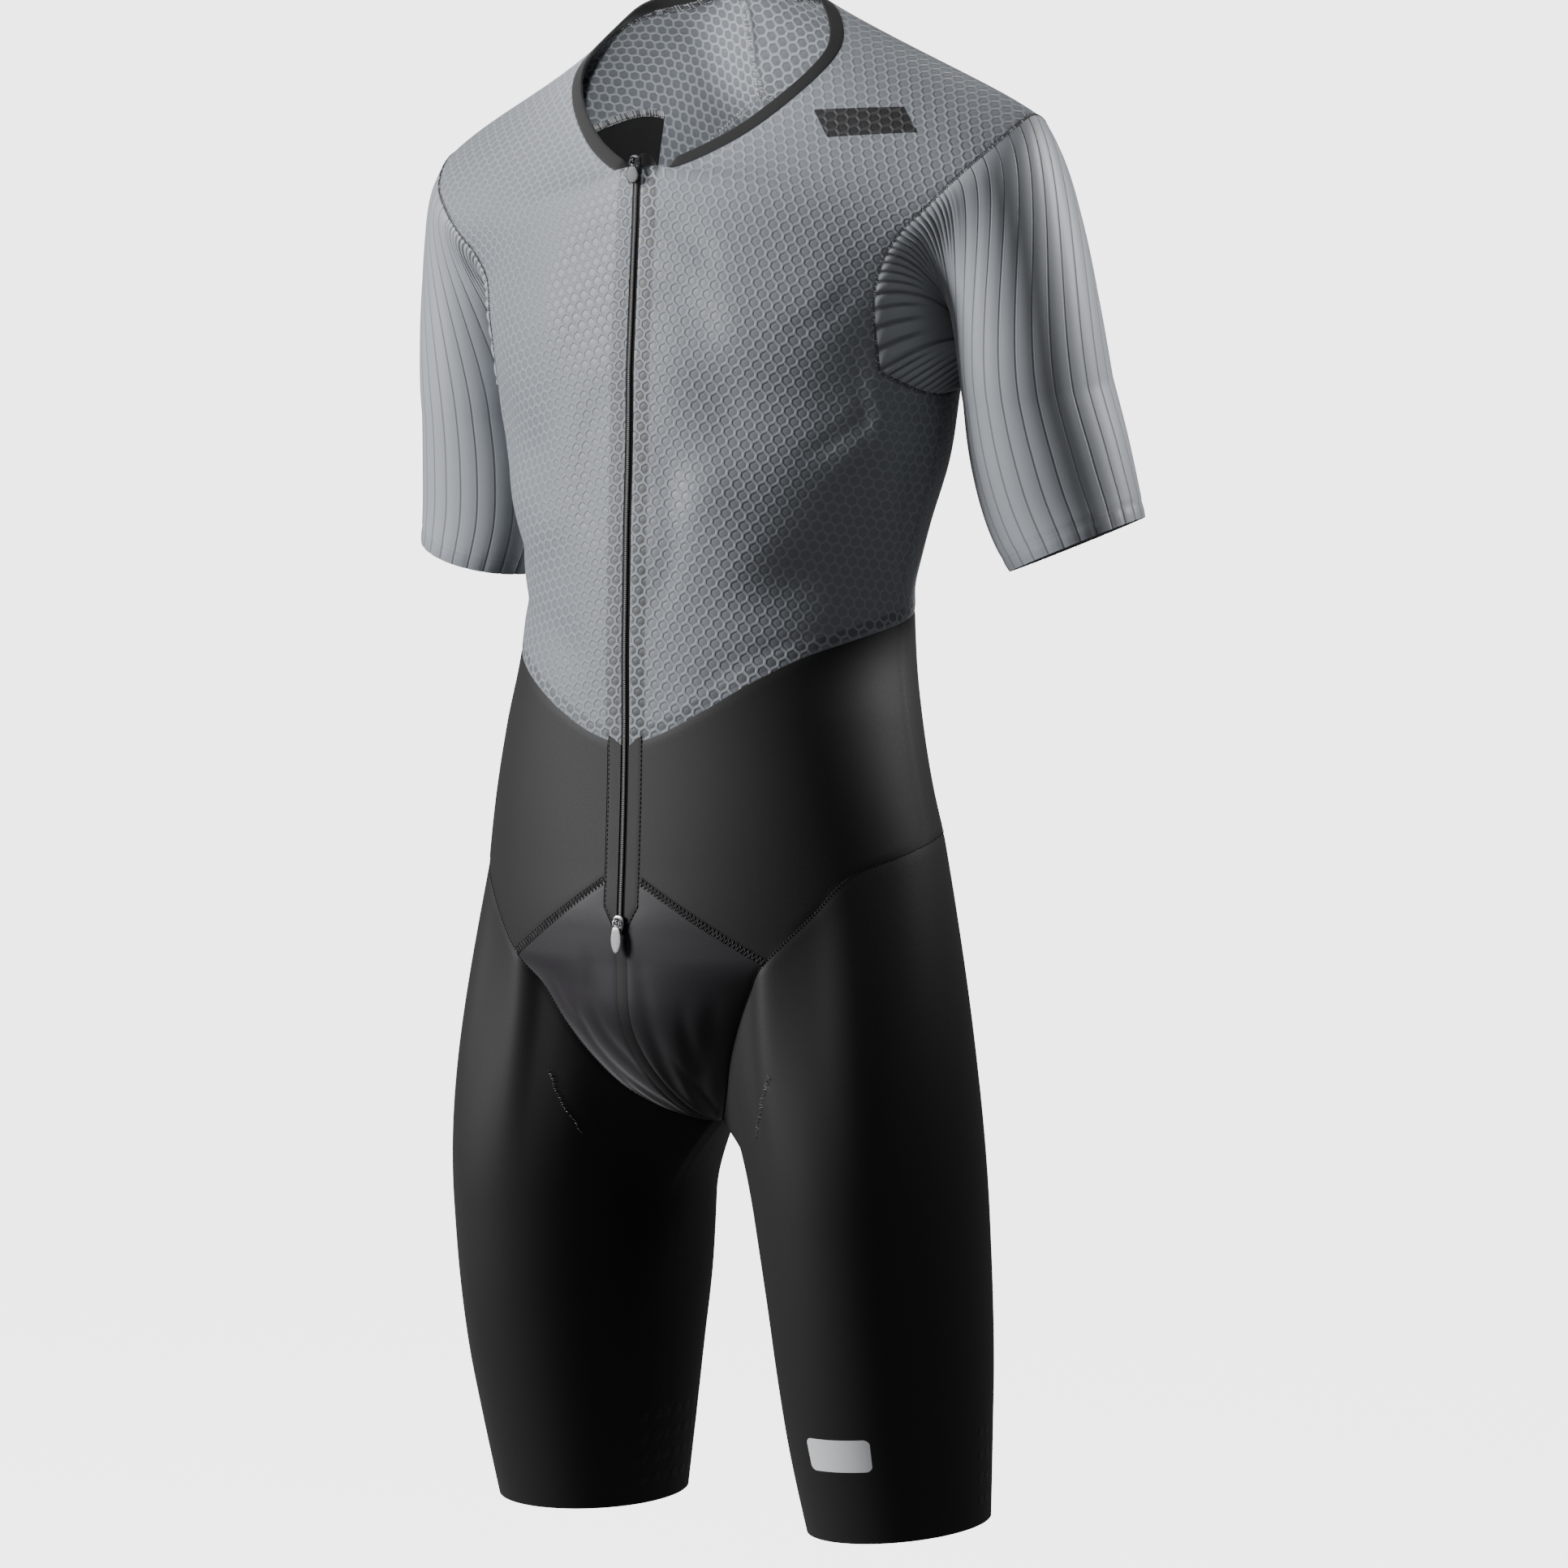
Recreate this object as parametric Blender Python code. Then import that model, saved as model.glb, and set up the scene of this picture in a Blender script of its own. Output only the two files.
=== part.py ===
"""Short-legged, short-sleeved cycling skinsuit, hollow, in the shape it has when worn.

Left and right are the wearer's. The middle of the shoulders is the origin, the front faces -Y.
Tables are in millimetres; every sheet is a wall of cloth built from the outer points of its
panel, and the panels of the left half are mirrored for the right.
"""
import math

import bmesh
import bpy
import numpy as np

NAME = "cycling_skinsuit"
MM = 0.001

CLOTH = 1.7  # thickness of a panel
SEAM_GAP = 0.3  # between two panels where they are sewn together
BINDING_WIDE, BINDING_THICK = 9.0, 2.4
COIL_HALF, COIL_PROUD, COIL_DEEP = 3.2, 0.8, 1.4
TAPE_WIDE, TAPE_THICK, TAPE_BEHIND = 11.0, 0.8, 0.3
PLACKET_EDGE = 14.0
STRIP_HALF = 4.0
ZIP_END = -601.0
PATCH_THICK = 0.9


# Level sections of the body, in mm: one row per height, from under the arms to the hips.
# half = half width, side = how far back the side lies, front and back = depths on the middle
# line, full_f and full_b = how square each quarter is (1 is round).
RING_COLUMNS = ("height", "half", "side", "front", "back", "full_f", "full_b")
RINGS = (
    (-247, 168, 8, 102, 112, 1.10, 1.06),
    (-300, 161, 8, 103, 102, 1.08, 1.04),
    (-345, 148, 6, 105, 92, 1.05, 1.02),
    (-385, 140, 2, 106, 88, 1.03, 1.02),
    (-425, 141, 0, 107, 88, 1.08, 1.02),
    (-470, 149, -5, 107, 87, 1.15, 1.02),
    (-515, 158, -7, 108, 92, 1.15, 1.02),
    (-560, 168, -4, 110, 102, 1.09, 1.03),
    (-600, 177, 2, 112, 114, 1.03, 1.04),
    (-640, 184, 4, 110, 124, 1.02, 1.05),
)

# Rows across the upper body from the zip, neckline or centre back to the armhole, in mm.
# lean = which way the row bows out (0 front, 90 up, 180 back), bow_in and bow_out = how far.
UPPER_COLUMNS = ("in_x", "in_y", "in_z", "arm_x", "arm_y", "arm_z", "lean", "bow_in", "bow_out")
UPPER = (
    (0, -102, -247, 153, -44, -247, 0, 64, 90),
    (0, -99, -200, 154, -50, -205, 4, 52, 66),
    (0, -96, -155, 159, -47, -178, 12, 50, 55),
    (0, -93, -116, 171, -45, -160, 30, 45, 45),
    (25.5, -83.6, -114.6, 186, -42, -147, 50, 20, 35),
    (62.6, -62.7, -94.6, 202, -36, -131, 65, 5, 30),
    (92.8, -39.3, -65.5, 218, -24, -113, 80, -5, 25),
    (105.3, -18.8, -41.1, 229, -4, -95, 90, -15, 22),
    (97.1, -1.8, -20.2, 232, 16, -85, 100, -18, 20),
    (76, 12, -3, 228, 38, -92, 112, -5, 26),
    (44, 20, 4, 216, 57, -112, 124, 25, 34),
    (0, 24, 6, 201, 71, -136, 135, 60, 40),
    (0, 44, -57, 184, 79, -166, 148, 70, 44),
    (0, 76, -110, 168, 80, -196, 158, 66, 50),
    (0, 98, -170, 160, 75, -222, 170, 62, 70),
    (0, 112, -247, 158, 64, -247, 180, 60, 90),
)
ARMPIT_DROP = 13
ROUND = 1.6569


def smooth(knots, values, at):
    """Cubic curve through the knots, its slopes taken from their neighbours."""
    knots = np.asarray(knots, float)
    values = np.asarray(values, float).reshape(len(knots), -1)
    at = np.asarray(at, float)
    step = np.diff(knots)[:, None]
    rise = np.diff(values, axis=0) / step
    middle = (rise[:-1] * step[1:] + rise[1:] * step[:-1]) / (step[:-1] + step[1:])
    slope = np.vstack([1.5 * rise[:1] - 0.5 * middle[:1], middle, 1.5 * rise[-1:] - 0.5 * middle[-1:]])
    cell = np.clip(np.searchsorted(knots, at.ravel(), side="right") - 1, 0, len(knots) - 2)
    long = step[cell]
    t = ((at.ravel() - knots[cell]) / long[:, 0])[:, None]
    found = hermite(values[cell], values[cell + 1], slope[cell] * long, slope[cell + 1] * long, t)
    return found.reshape(at.shape + (values.shape[1],))


def hermite(start, end, leave, arrive, t):
    """Curve from start to end that sets out along leave and comes in along arrive."""
    return (start * (2 * t**3 - 3 * t**2 + 1) + end * (3 * t**2 - 2 * t**3)
            + leave * (t**3 - 2 * t**2 + t) + arrive * (t**3 - t**2))


def ring(turn, height):
    """Point of the body at a height; turn runs 0 front, 1 side, 2 back (wearer's left)."""
    turn, height = np.broadcast_arrays(np.asarray(turn, float), np.asarray(height, float))
    table = np.array(RINGS)[::-1]
    half, side, front, back, full_f, full_b = np.moveaxis(
        smooth(table[:, 0], table[:, 1:], np.clip(height, table[0, 0], table[-1, 0])), -1, 0)
    zero = np.zeros_like(half)
    ahead = np.stack([zero, -front], -1), np.stack([half, side], -1)
    behind = np.stack([half, side], -1), np.stack([zero, back], -1)
    out_f, in_f = np.stack([ROUND * full_f * half, zero], -1), np.stack([zero, ROUND * full_f * (front + side)], -1)
    out_b, in_b = np.stack([zero, ROUND * full_b * (back - side)], -1), np.stack([-ROUND * full_b * half, zero], -1)
    t = np.clip(turn, 0, 1)[..., None], np.clip(turn - 1, 0, 1)[..., None]
    flat = np.where((turn <= 1)[..., None], hermite(*ahead, out_f, in_f, t[0]), hermite(*behind, out_b, in_b, t[1]))
    return np.concatenate([flat, height[..., None]], -1)


def turn_at(x, height, back=False):
    """The turn at which the ring at a height is x from the middle plane."""
    low, high = (np.ones_like(x) * 1.0, np.ones_like(x) * 2.0) if back else (np.zeros_like(x), np.ones_like(x))
    for _ in range(40):
        mid = (low + high) / 2
        more = (ring(mid, height)[..., 0] < x) != back
        low, high = np.where(more, mid, low), np.where(more, high, mid)
    return (low + high) / 2


def unit(v):
    return v / np.maximum(np.linalg.norm(v, axis=-1, keepdims=True), 1e-12)


def upper_rows():
    """Ends and leaving directions of the rows, with one row of the body below at each end."""
    rows = np.array(UPPER, float)
    inner, outer, lean = rows[:, :3], rows[:, 3:6], np.radians(rows[:, 6])
    chord = outer - inner
    away = np.stack([0 * lean, -np.cos(lean), np.sin(lean)], -1)
    away = unit(away - unit(chord) * (away * unit(chord)).sum(-1, keepdims=True))
    leave, arrive = chord + rows[:, 7:8] * away, chord - rows[:, 8:9] * away
    ends = []
    for height, back in ((-290.0, False), (-247.0, False), (-247.0, True), (-290.0, True)):
        row = 0 if not back else -1
        turn = float(turn_at(np.array(outer[row, 0]), np.array(height), back))
        start, far = (2.0, turn) if back else (0.0, turn)
        eps = 1e-4
        a, b = ring(start, height), ring(far, height)
        sign = (far - start)
        da = (ring(start + eps * np.sign(sign), height) - a) / eps * abs(sign)
        db = (b - ring(far - eps * np.sign(sign), height)) / eps * abs(sign)
        ends.append(np.concatenate([a, b, da, db]))
    body = np.concatenate([inner, outer, leave, arrive], 1)
    body[0], body[-1] = ends[1], ends[2]
    knots = np.arange(-1, len(rows) + 1, dtype=float)
    return knots, np.vstack([ends[0], body, ends[3]])


UPPER_KNOTS, UPPER_ROWS = upper_rows()


def upper(across, row):
    """Point of the upper body; across runs 0 to 1 from zip, neckline or centre back to armhole."""
    across, row = np.broadcast_arrays(np.asarray(across, float), np.asarray(row, float))
    found = smooth(UPPER_KNOTS, UPPER_ROWS, row)
    return hermite(found[..., :3], found[..., 3:6], found[..., 6:9], found[..., 9:12], across[..., None])

# Rings of the sleeve at right angles to the arm, in mm: centre, radius across and radius front
# to back; the last is the cuff.
ARM_COLUMNS = ("x", "y", "z", "across", "deep")
ARM = (
    (220.5, 38, -258, 47.5, 50),
    (223.5, 46, -294, 51, 50),
    (229.5, 52, -328, 51, 48),
    (239, 56, -356, 47, 46),
)
CUFF_DROP = 0.08  # how much lower the cuff hangs toward the front and outside
# The armhole seam pulls the sleeve out of the body: drift of its first centimetre, how far that
# pull reaches, in mm, and how long it hangs straight into the arm, in spans. Under the arm the
# sleeve folds up and over on its way down, as the arm hangs.
REACH_COLUMNS = ("row", "x", "y", "z", "reach", "settle")
SLEEVE_REACH = (
    (0, 0.85, 0.30, 0.42, 70, 4.0),
    (1.5, 0.80, 0.32, -0.05, 62, 2.4),
    (3, 0.78, 0.12, -0.50, 60, 1.4),
    (5, 0.72, -0.10, -0.68, 90, 1.05),
    (7, 0.52, 0.05, -0.85, 120, 1.0),
    (8, 0.50, 0.12, -0.86, 130, 1.0),
    (10, 0.60, 0.35, -0.70, 110, 1.0),
    (13, 0.80, 0.30, -0.40, 70, 1.2),
    (15, 0.85, 0.22, 0.00, 50, 1.8),
    (17, 0.40, 0.05, 0.35, 32, 2.2),
    (19, 0.85, 0.30, 0.42, 70, 4.0),
)

# The leg seam, in mm, from the crotch up the groin, over the hip and down the seat, with the
# drift of the leg below it and how far that pull reaches.
LEG_SEAM_COLUMNS = ("x", "y", "z", "drift_x", "drift_y", "reach")
LEG_SEAM = (
    (4, -5, -733, 0.80, 0.00, 45),
    (13, -18, -730, 0.80, -0.10, 45),
    (27, -36, -722, 0.75, -0.25, 50),
    (42, -54, -708, 0.60, -0.40, 60),
    (56, -70, -687, 0.35, -0.30, 80),
    (69, -80, -665, 0.15, -0.12, 110),
    (83, -86, -641, 0.03, -0.05, 140),
    (94, -88, -621, 0.00, -0.03, 160),
    (123, -77, -591, 0.06, -0.05, 200),
    (145, -64, -567, 0.16, -0.08, 230),
    (160, -30, -554, 0.20, -0.04, 250),
    (166, 5, -545, 0.18, 0.02, 250),
    (154, 42, -540, 0.18, 0.05, 250),
    (130, 76, -538, 0.14, 0.08, 240),
    (104, 98, -552, 0.08, 0.10, 220),
    (82, 112, -582, 0.04, 0.06, 190),
    (64, 118, -622, 0.04, -0.02, 150),
    (48, 112, -660, 0.10, -0.06, 110),
    (34, 92, -692, 0.30, 0.00, 70),
    (21, 62, -715, 0.60, 0.10, 55),
    (11, 32, -729, 0.80, 0.10, 45),
    (4, 8, -733, 0.80, 0.05, 45),
)
# Level sections of the leg below the seam, in mm; turn = degrees the section is turned out.
THIGH_COLUMNS = ("height", "x", "y", "across", "deep", "turn", "lift_x", "lift_y")
THIGH = (
    (-790, 116, 5, 73, 97, 14, 0.00, 0.00),
    (-846, 119, 10, 70, 93, 14, 0.01, 0.02),
    (-890, 121, 13, 68, 86, 14, 0.02, 0.03),
    (-932, 122, 17, 65, 78, 14, 0.03, 0.05),
    (-990, 124, 24, 59, 67, 14, 0.04, 0.07),
)


def underarm(share):
    """The bottom of the armhole on the body, share 0 at the front to 1 at the back."""
    turn = UNDER_FRONT + (UNDER_BACK - UNDER_FRONT) * share
    return ring(turn, -247 - ARMPIT_DROP * np.sin(math.pi * share))


UNDER_FRONT = float(turn_at(np.array(153.0), np.array(-247.0)))
UNDER_BACK = float(turn_at(np.array(158.0), np.array(-247.0), True))


def armhole(row):
    """The armhole seam: row 0 to 15 over the shoulder, 15 to 19 back under the arm."""
    row = np.asarray(row, float)
    over = upper(1.0, np.clip(row, 0, 15))
    under = underarm(1 - np.clip(row - 15, 0, 4) / 4)
    return np.where((row <= 15)[..., None], over, under)


def arm_ring(angle, along):
    """Point of the sleeve below the armhole; along 0 at the first ring to 1 at the cuff."""
    angle, along = np.broadcast_arrays(np.asarray(angle, float), np.asarray(along, float))
    table = np.array(ARM, float)
    knots = np.linspace(0, 1, len(table))
    found = smooth(knots, table, along)
    axis = unit(smooth(knots, table[:, :3], np.clip(along + 0.01, 0, 1)) - smooth(knots, table[:, :3], np.clip(along - 0.01, 0, 1)))
    side = unit(np.stack([-axis[..., 2], 0 * axis[..., 0], axis[..., 0]], -1))
    front = np.cross(side, axis)
    reach = side * (found[..., 3] * np.cos(angle))[..., None] + front * (found[..., 4] * np.sin(angle))[..., None]
    drop = CUFF_DROP * along**2 * (reach @ np.array([0.53, -0.85, 0.0]))
    return found[..., :3] + reach + axis * drop[..., None], axis


ARM_ANGLES = ((0, 250), (3, 285), (5, 315), (7, 350), (8, 368), (10, 405), (13, 447), (15, 475), (17, 540), (19, 610))


def sleeve(row, down):
    """Point of the sleeve; row goes round as at the armhole, down 0 seam, 1 first ring, 2 cuff."""
    row, down = np.broadcast_arrays(np.asarray(row, float), np.asarray(down, float))
    pairs = np.array(ARM_ANGLES, float)
    angle = np.radians(smooth(pairs[:, 0], pairs[:, 1], row)[..., 0])
    pull = smooth([r[0] for r in SLEEVE_REACH], [r[1:] for r in SLEEVE_REACH], row)
    seam = armhole(row)
    first, axis = arm_ring(angle, 0 * down)
    span = np.linalg.norm(first - seam, axis=-1, keepdims=True)
    leave = unit(pull[..., :3]) * pull[..., 3:4]
    settle = axis * span * pull[..., 4:5]
    top = hermite(seam, first, leave, settle, np.clip(down, 0, 1)[..., None])
    low, _ = arm_ring(angle, np.clip(down - 1, 0, 1))
    return np.where((down <= 1)[..., None], top, low)


def thigh(angle, height):
    """Point of the leg at a height; angle 0 is outward, 90 is back."""
    angle, height = np.broadcast_arrays(np.asarray(angle, float), np.asarray(height, float))
    table = np.array(THIGH, float)[::-1]
    found = smooth(table[:, 0], table[:, 1:], height)
    x, y, across, deep, turn, lift_x, lift_y = np.moveaxis(found, -1, 0)
    turn = np.radians(turn)
    own = angle - turn
    reach = 1 / np.sqrt((np.cos(own) / across) ** 2 + (np.sin(own) / deep) ** 2)
    dx, dy = reach * np.cos(angle), reach * np.sin(angle)
    return np.stack([x + dx, y + dy, height + lift_x * dx + lift_y * dy], -1)


def leg_seam(at):
    table = np.array(LEG_SEAM, float)
    return smooth(np.arange(len(table)), table, at)


def leg(at, down):
    """Point of the leg; at goes round the seam by its rows, down 0 seam, 1 thigh, 2 hem."""
    at, down = np.broadcast_arrays(np.asarray(at, float), np.asarray(down, float))
    found = leg_seam(at)
    seam = found[..., :3]
    angle = np.arctan2(seam[..., 1] - 3, seam[..., 0] - 100)
    top, bottom = THIGH[0][0], THIGH[-1][0]
    first = thigh(angle, 0 * down + top)
    leave = np.stack([found[..., 3], found[..., 4], -np.ones_like(at)], -1) * found[..., 5:6]
    arrive = (thigh(angle, 0 * down + top - 4) - first) / 4 * np.abs(first - seam)[..., 2:3] * 1.0
    upper_part = hermite(seam, first, leave, arrive, np.clip(down, 0, 1)[..., None])
    lower_part = thigh(angle, top + (bottom - top) * np.clip(down - 1, 0, 1))
    return np.where((down <= 1)[..., None], upper_part, lower_part)

# Where the black panels meet the mesh: turn round the body and height.
WAIST_SEAM_COLUMNS = ("turn", "height")
WAIST_SEAM = (
    (0.00, -485),
    (0.10, -477),
    (0.22, -463),
    (0.36, -447),
    (0.55, -430),
    (0.80, -416),
    (1.00, -407),
    (1.35, -395),
    (1.70, -388),
    (2.00, -386),
)
# The centre back seam of the seat, from the waist to the crotch.
SEAT_MIDDLE_COLUMNS = ("back", "height")
SEAT_MIDDLE = (
    (99, -538),
    (112, -580),
    (119, -622),
    (114, -662),
    (93, -694),
    (63, -717),
    (33, -730),
    (8, -733),
)
# The front middle of the insert, from the end of the zip to the crotch.
INSERT_MIDDLE = (
    (-110, -571),
    (-111, -588),
    (-112, -605),
    (-112, -622),
    (-111, -641),
    (-106, -665),
    (-89, -688),
    (-64, -709),
    (-38, -724),
    (-18, -731),
    (-5, -733),
)
ROW_YOKE, ROW_NECK_FRONT, ROW_NECK_BACK, ROW_LAST = 12, 3, 11, 15
LEG_JUNCTION, LEG_SIDE, LEG_CREST = 7, 11, 13


def surface_turn(point, back=False):
    """The turn of the ring that passes nearest to a point, found by the direction it lies in."""
    wanted = np.arctan2(point[0], -point[1])
    low, high = 0.0, 2.0
    for _ in range(40):
        mid = (low + high) / 2
        at = ring(mid, point[2])
        if np.arctan2(at[0], -at[1]) < wanted:
            low = mid
        else:
            high = mid
    return (low + high) / 2


def snap_to_body():
    """Puts the rows of the leg seam that cross the hip exactly onto the body."""
    rows = [list(row) for row in LEG_SEAM]
    for i in range(LEG_JUNCTION, LEG_CREST + 1):
        rows[i][:2] = ring(surface_turn(rows[i]), rows[i][2])[:2]
    return np.array(rows, float)


LEG_SEAM = snap_to_body()
ACROSS, UNDER = 8, 4


def waist_height(turn):
    table = np.array(WAIST_SEAM, float)
    return smooth(table[:, 0], table[:, 1:], turn)[..., 0]


def blend(start, end, share):
    return start + (end - start) * share


def upper_grid(first_row, last_row, steps):
    """Panel points over the shoulder, the inner edge kept clear of the zip in front."""
    rows = np.linspace(first_row, last_row, steps + 1)
    grid = []
    for row in rows:
        low, high = 0.0, 0.5
        keep_off = COIL_HALF if row <= ROW_NECK_FRONT else 0.0
        if upper(0.0, row)[0] < keep_off:
            for _ in range(40):
                mid = (low + high) / 2
                low, high = (mid, high) if upper(mid, row)[0] < keep_off else (low, mid)
        grid.append(upper(np.linspace(low, 1, ACROSS + 1), row))
    return np.array(grid)


def armhole_shares():
    """Where the underarm is cut into steps, with the side seam on one of them."""
    side = (1 - UNDER_FRONT) / (UNDER_BACK - UNDER_FRONT)
    return np.concatenate([np.linspace(0, side, UNDER + 1), np.linspace(side, 1, UNDER + 1)[1:]])


def body_grid(top_turn, top_height, low_turn, low_height, steps, top_points, keep_x=None):
    """Panel points on the body between two lines that run round it."""
    grid = [top_points]
    for share in np.linspace(0, 1, steps + 1)[1:]:
        turn, height = blend(top_turn, low_turn, share), blend(top_height, low_height, share)
        if keep_x:
            turn[0] = turn_at(np.array(keep_x), height[0])
        grid.append(ring(turn, height))
    return np.array(grid)


def make_panels():
    """The panels of the left half: name to the grids of points that are welded into it."""
    shares = armhole_shares()
    waist = np.linspace(0, 1, ACROSS + UNDER)
    # The mesh front, which wraps over the shoulder as far as the yoke seam.
    over = upper_grid(0, ROW_YOKE, 2 * ROW_YOKE)
    first = float(turn_at(np.array(COIL_HALF), np.array(-247.0)))
    top_turn = np.concatenate([np.linspace(first, UNDER_FRONT, ACROSS + 1),
                               blend(UNDER_FRONT, UNDER_BACK, shares[1:UNDER + 1])])
    under = underarm(shares[1:UNDER + 1])
    top = np.vstack([over[0], under])
    low_turn = np.concatenate([[0.0], blend(0.066, 1.0, waist)])
    low_turn[0] = turn_at(np.array(COIL_HALF), np.array(WAIST_SEAM[0][1], float))
    low_turn[1] = turn_at(np.array(PLACKET_EDGE), np.array(waist_height(0.06)))
    front = body_grid(top_turn, top[:, 2], low_turn, waist_height(low_turn), 8, top, COIL_HALF)
    panels = {"mesh_front": [over[::-1], front]}
    # The mesh back below the yoke seam.
    yoke = upper_grid(ROW_YOKE, ROW_LAST, 6)
    back_turn = np.concatenate([np.linspace(2, UNDER_BACK, ACROSS + 1),
                                blend(UNDER_FRONT, UNDER_BACK, shares[UNDER:-1][::-1])])
    under = underarm(shares[UNDER:-1][::-1])
    top = np.vstack([yoke[-1], under])
    crest = surface_turn(LEG_SEAM[LEG_CREST])
    side = surface_turn(LEG_SEAM[LEG_SIDE])
    back_low = np.concatenate([np.linspace(2, 1.42, ACROSS + 1), np.linspace(1.42, 1, UNDER + 1)[1:]])
    back = body_grid(back_turn, top[:, 2], back_low, waist_height(back_low), 8, top)
    panels["mesh_back"] = [yoke[:, ::-1], back[:, ::-1]]
    # The black front, from the waist seam to the insert and the leg seam.
    corner_x = blend(PLACKET_EDGE, LEG_SEAM[LEG_JUNCTION, 0], np.linspace(0, 1, 4))
    corner_z = blend(INSERT_MIDDLE[0][1], LEG_SEAM[LEG_JUNCTION, 2], np.linspace(0, 1, 4))
    slant = ring(turn_at(corner_x, corner_z), corner_z)
    hip = leg_seam(np.arange(LEG_JUNCTION, LEG_SIDE + 0.1, 0.5))[:, :3]
    slant[-1] = hip[0]
    low = np.vstack([slant, hip[1:]])
    turns = np.array([surface_turn(p) for p in low])
    grid = body_grid(low_turn[1:], waist_height(low_turn[1:]), turns, low[:, 2], 6, front[-1, 1:], PLACKET_EDGE)
    grid[-1] = low
    panels["abdomen"] = [grid]
    # The black seat behind the side seam, down to the crotch.
    hip = leg_seam(np.arange(LEG_CREST, LEG_SIDE - 0.1, -0.5))[:, :3]
    across = ring(np.linspace(2, crest, ACROSS + 1), LEG_SEAM[LEG_CREST, 2])
    low = np.vstack([across[:-1], hip])
    turns = np.concatenate([np.linspace(2, crest, ACROSS + 1), [surface_turn(p) for p in hip[1:]]])
    top_seat = body_grid(back_low, waist_height(back_low), turns, low[:, 2], 6, back[-1])
    top_seat[-1] = low
    top_seat[:, -1] = grid[:, -1]
    rump = [low[:ACROSS + 1]]
    for k in range(1, len(SEAT_MIDDLE)):
        middle = np.array((0,) + SEAT_MIDDLE[k], float)
        rump.append(bow(middle, leg_seam(LEG_CREST + k * 8 / 7)[:3], 1, ACROSS))
    lower_seat = np.array(rump)
    panels["seat"] = [top_seat[:, ::-1], lower_seat[:, ::-1]]
    # The insert between the slanting seams and the leg seams.
    outer = np.vstack([slant, leg_seam(np.arange(LEG_JUNCTION - 1, -0.1, -1.0))[:, :3]])
    rows = []
    for k, (y, z) in enumerate(INSERT_MIDDLE):
        x = PLACKET_EDGE if k < 2 else STRIP_HALF
        inner = np.array([x, y, z], float)
        if z > -625:
            inner = ring(turn_at(np.array(x), np.array(float(z))), float(z))
        rows.append(np.repeat(inner[None], 7, 0) if k == 0 else bow(inner, outer[k], -1, 6))
    rows[0][:] = slant[0]
    panels["insert"] = [np.array(rows)]
    return panels


def bow(inner, outer, way, steps):
    """A row that leaves the middle sideways and bends evenly to reach the seam."""
    chord = outer - inner
    size = np.linalg.norm(chord)
    sideways = np.array([1.0, 0, 0])
    share = np.linspace(0, 1, steps + 1)[:, None]
    along = chord / max(size, 1e-9)
    arrive = 2 * (along @ sideways) * along - sideways
    return hermite(inner, outer, sideways * size, arrive * size, share)


LEG_STEPS = np.concatenate([np.arange(0, LEG_JUNCTION), np.arange(LEG_JUNCTION, LEG_CREST, 0.5),
                            LEG_CREST + np.arange(0, 8) * 8 / 7])
SLEEVE_STEPS = np.concatenate([np.arange(0, ROW_LAST, 0.5),
                               ROW_LAST + 4 * (1 - armhole_shares()[::-1])])
GUSSET_FROM, GUSSET_ROWS = 2 * ROW_LAST, 2
RIB_HIGH = 0.6


def tube_grids():
    """The sleeve, its underarm gusset and the leg of the left half."""
    down = np.array([0, 0.1, 0.25, 0.45, 0.7, 1, 1.33, 1.67, 2.0])
    cols = sleeve(SLEEVE_STEPS[None, :], down[:, None])
    rib = np.where(np.arange(len(SLEEVE_STEPS)) % 2 == 1, RIB_HIGH, 0.0)[None, :]
    high = rib * np.clip(down / 0.1, 0, 1)[:, None]
    g, r = GUSSET_FROM, GUSSET_ROWS
    grids = {"gusset": ([cols[:r + 1, g:]], [0 * high[:r + 1, g:]])}
    high[:r + 1, g:] = 0
    grids["sleeve"] = ([cols[r:], cols[:r + 1, :g + 1]], [high[r:], high[:r + 1, :g + 1]])
    down = np.concatenate([np.linspace(0, 1, 7), [1.2, 1.4, 1.6, 1.8, 2.0]])
    steps = np.concatenate([LEG_STEPS, [0.0]])
    legs = leg(steps[None, :], down[:, None])
    grids["leg"] = ([legs], [np.zeros(legs.shape[:2])])
    return grids


def key(point):
    return tuple(np.round(np.asarray(point) / 0.02).astype(int))


def weld(grids, lifts=None):
    """Joins grids of points that share edges into one list of points and faces."""
    points, lift, faces, seen = [], [], [], {}
    for g, grid in enumerate(grids):
        index = np.empty(grid.shape[:2], int)
        for spot in np.ndindex(grid.shape[:2]):
            k = key(grid[spot])
            if k not in seen:
                seen[k] = len(points)
                points.append(grid[spot])
                lift.append(0.0 if lifts is None else lifts[g][spot])
            index[spot] = seen[k]
        for r in range(grid.shape[0] - 1):
            for c in range(grid.shape[1] - 1):
                quad = [index[r, c], index[r + 1, c], index[r + 1, c + 1], index[r, c + 1]]
                face = [v for i, v in enumerate(quad) if v != quad[i - 1]]
                if len(face) == 4:
                    faces += halves(face, points)
                elif len(face) == 3:
                    faces.append(face)
    return np.array(points), np.array(lift), faces


def halves(quad, points):
    """The two triangles of a quad, parted by its shorter diagonal."""
    a, b, c, d = (np.asarray(points[v]) for v in quad)
    i = 0 if np.linalg.norm(a - c) <= np.linalg.norm(b - d) + 1e-6 else 1
    return [[quad[i], quad[i + 1], quad[i + 2]], [quad[i + 2], quad[i - 1], quad[i]]]


def face_normal(corners):
    """Area-weighted normal of a face."""
    middle = corners.mean(0)
    return sum(np.cross(corners[i - 1] - middle, corners[i] - middle) for i in range(len(corners))) / 2


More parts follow.
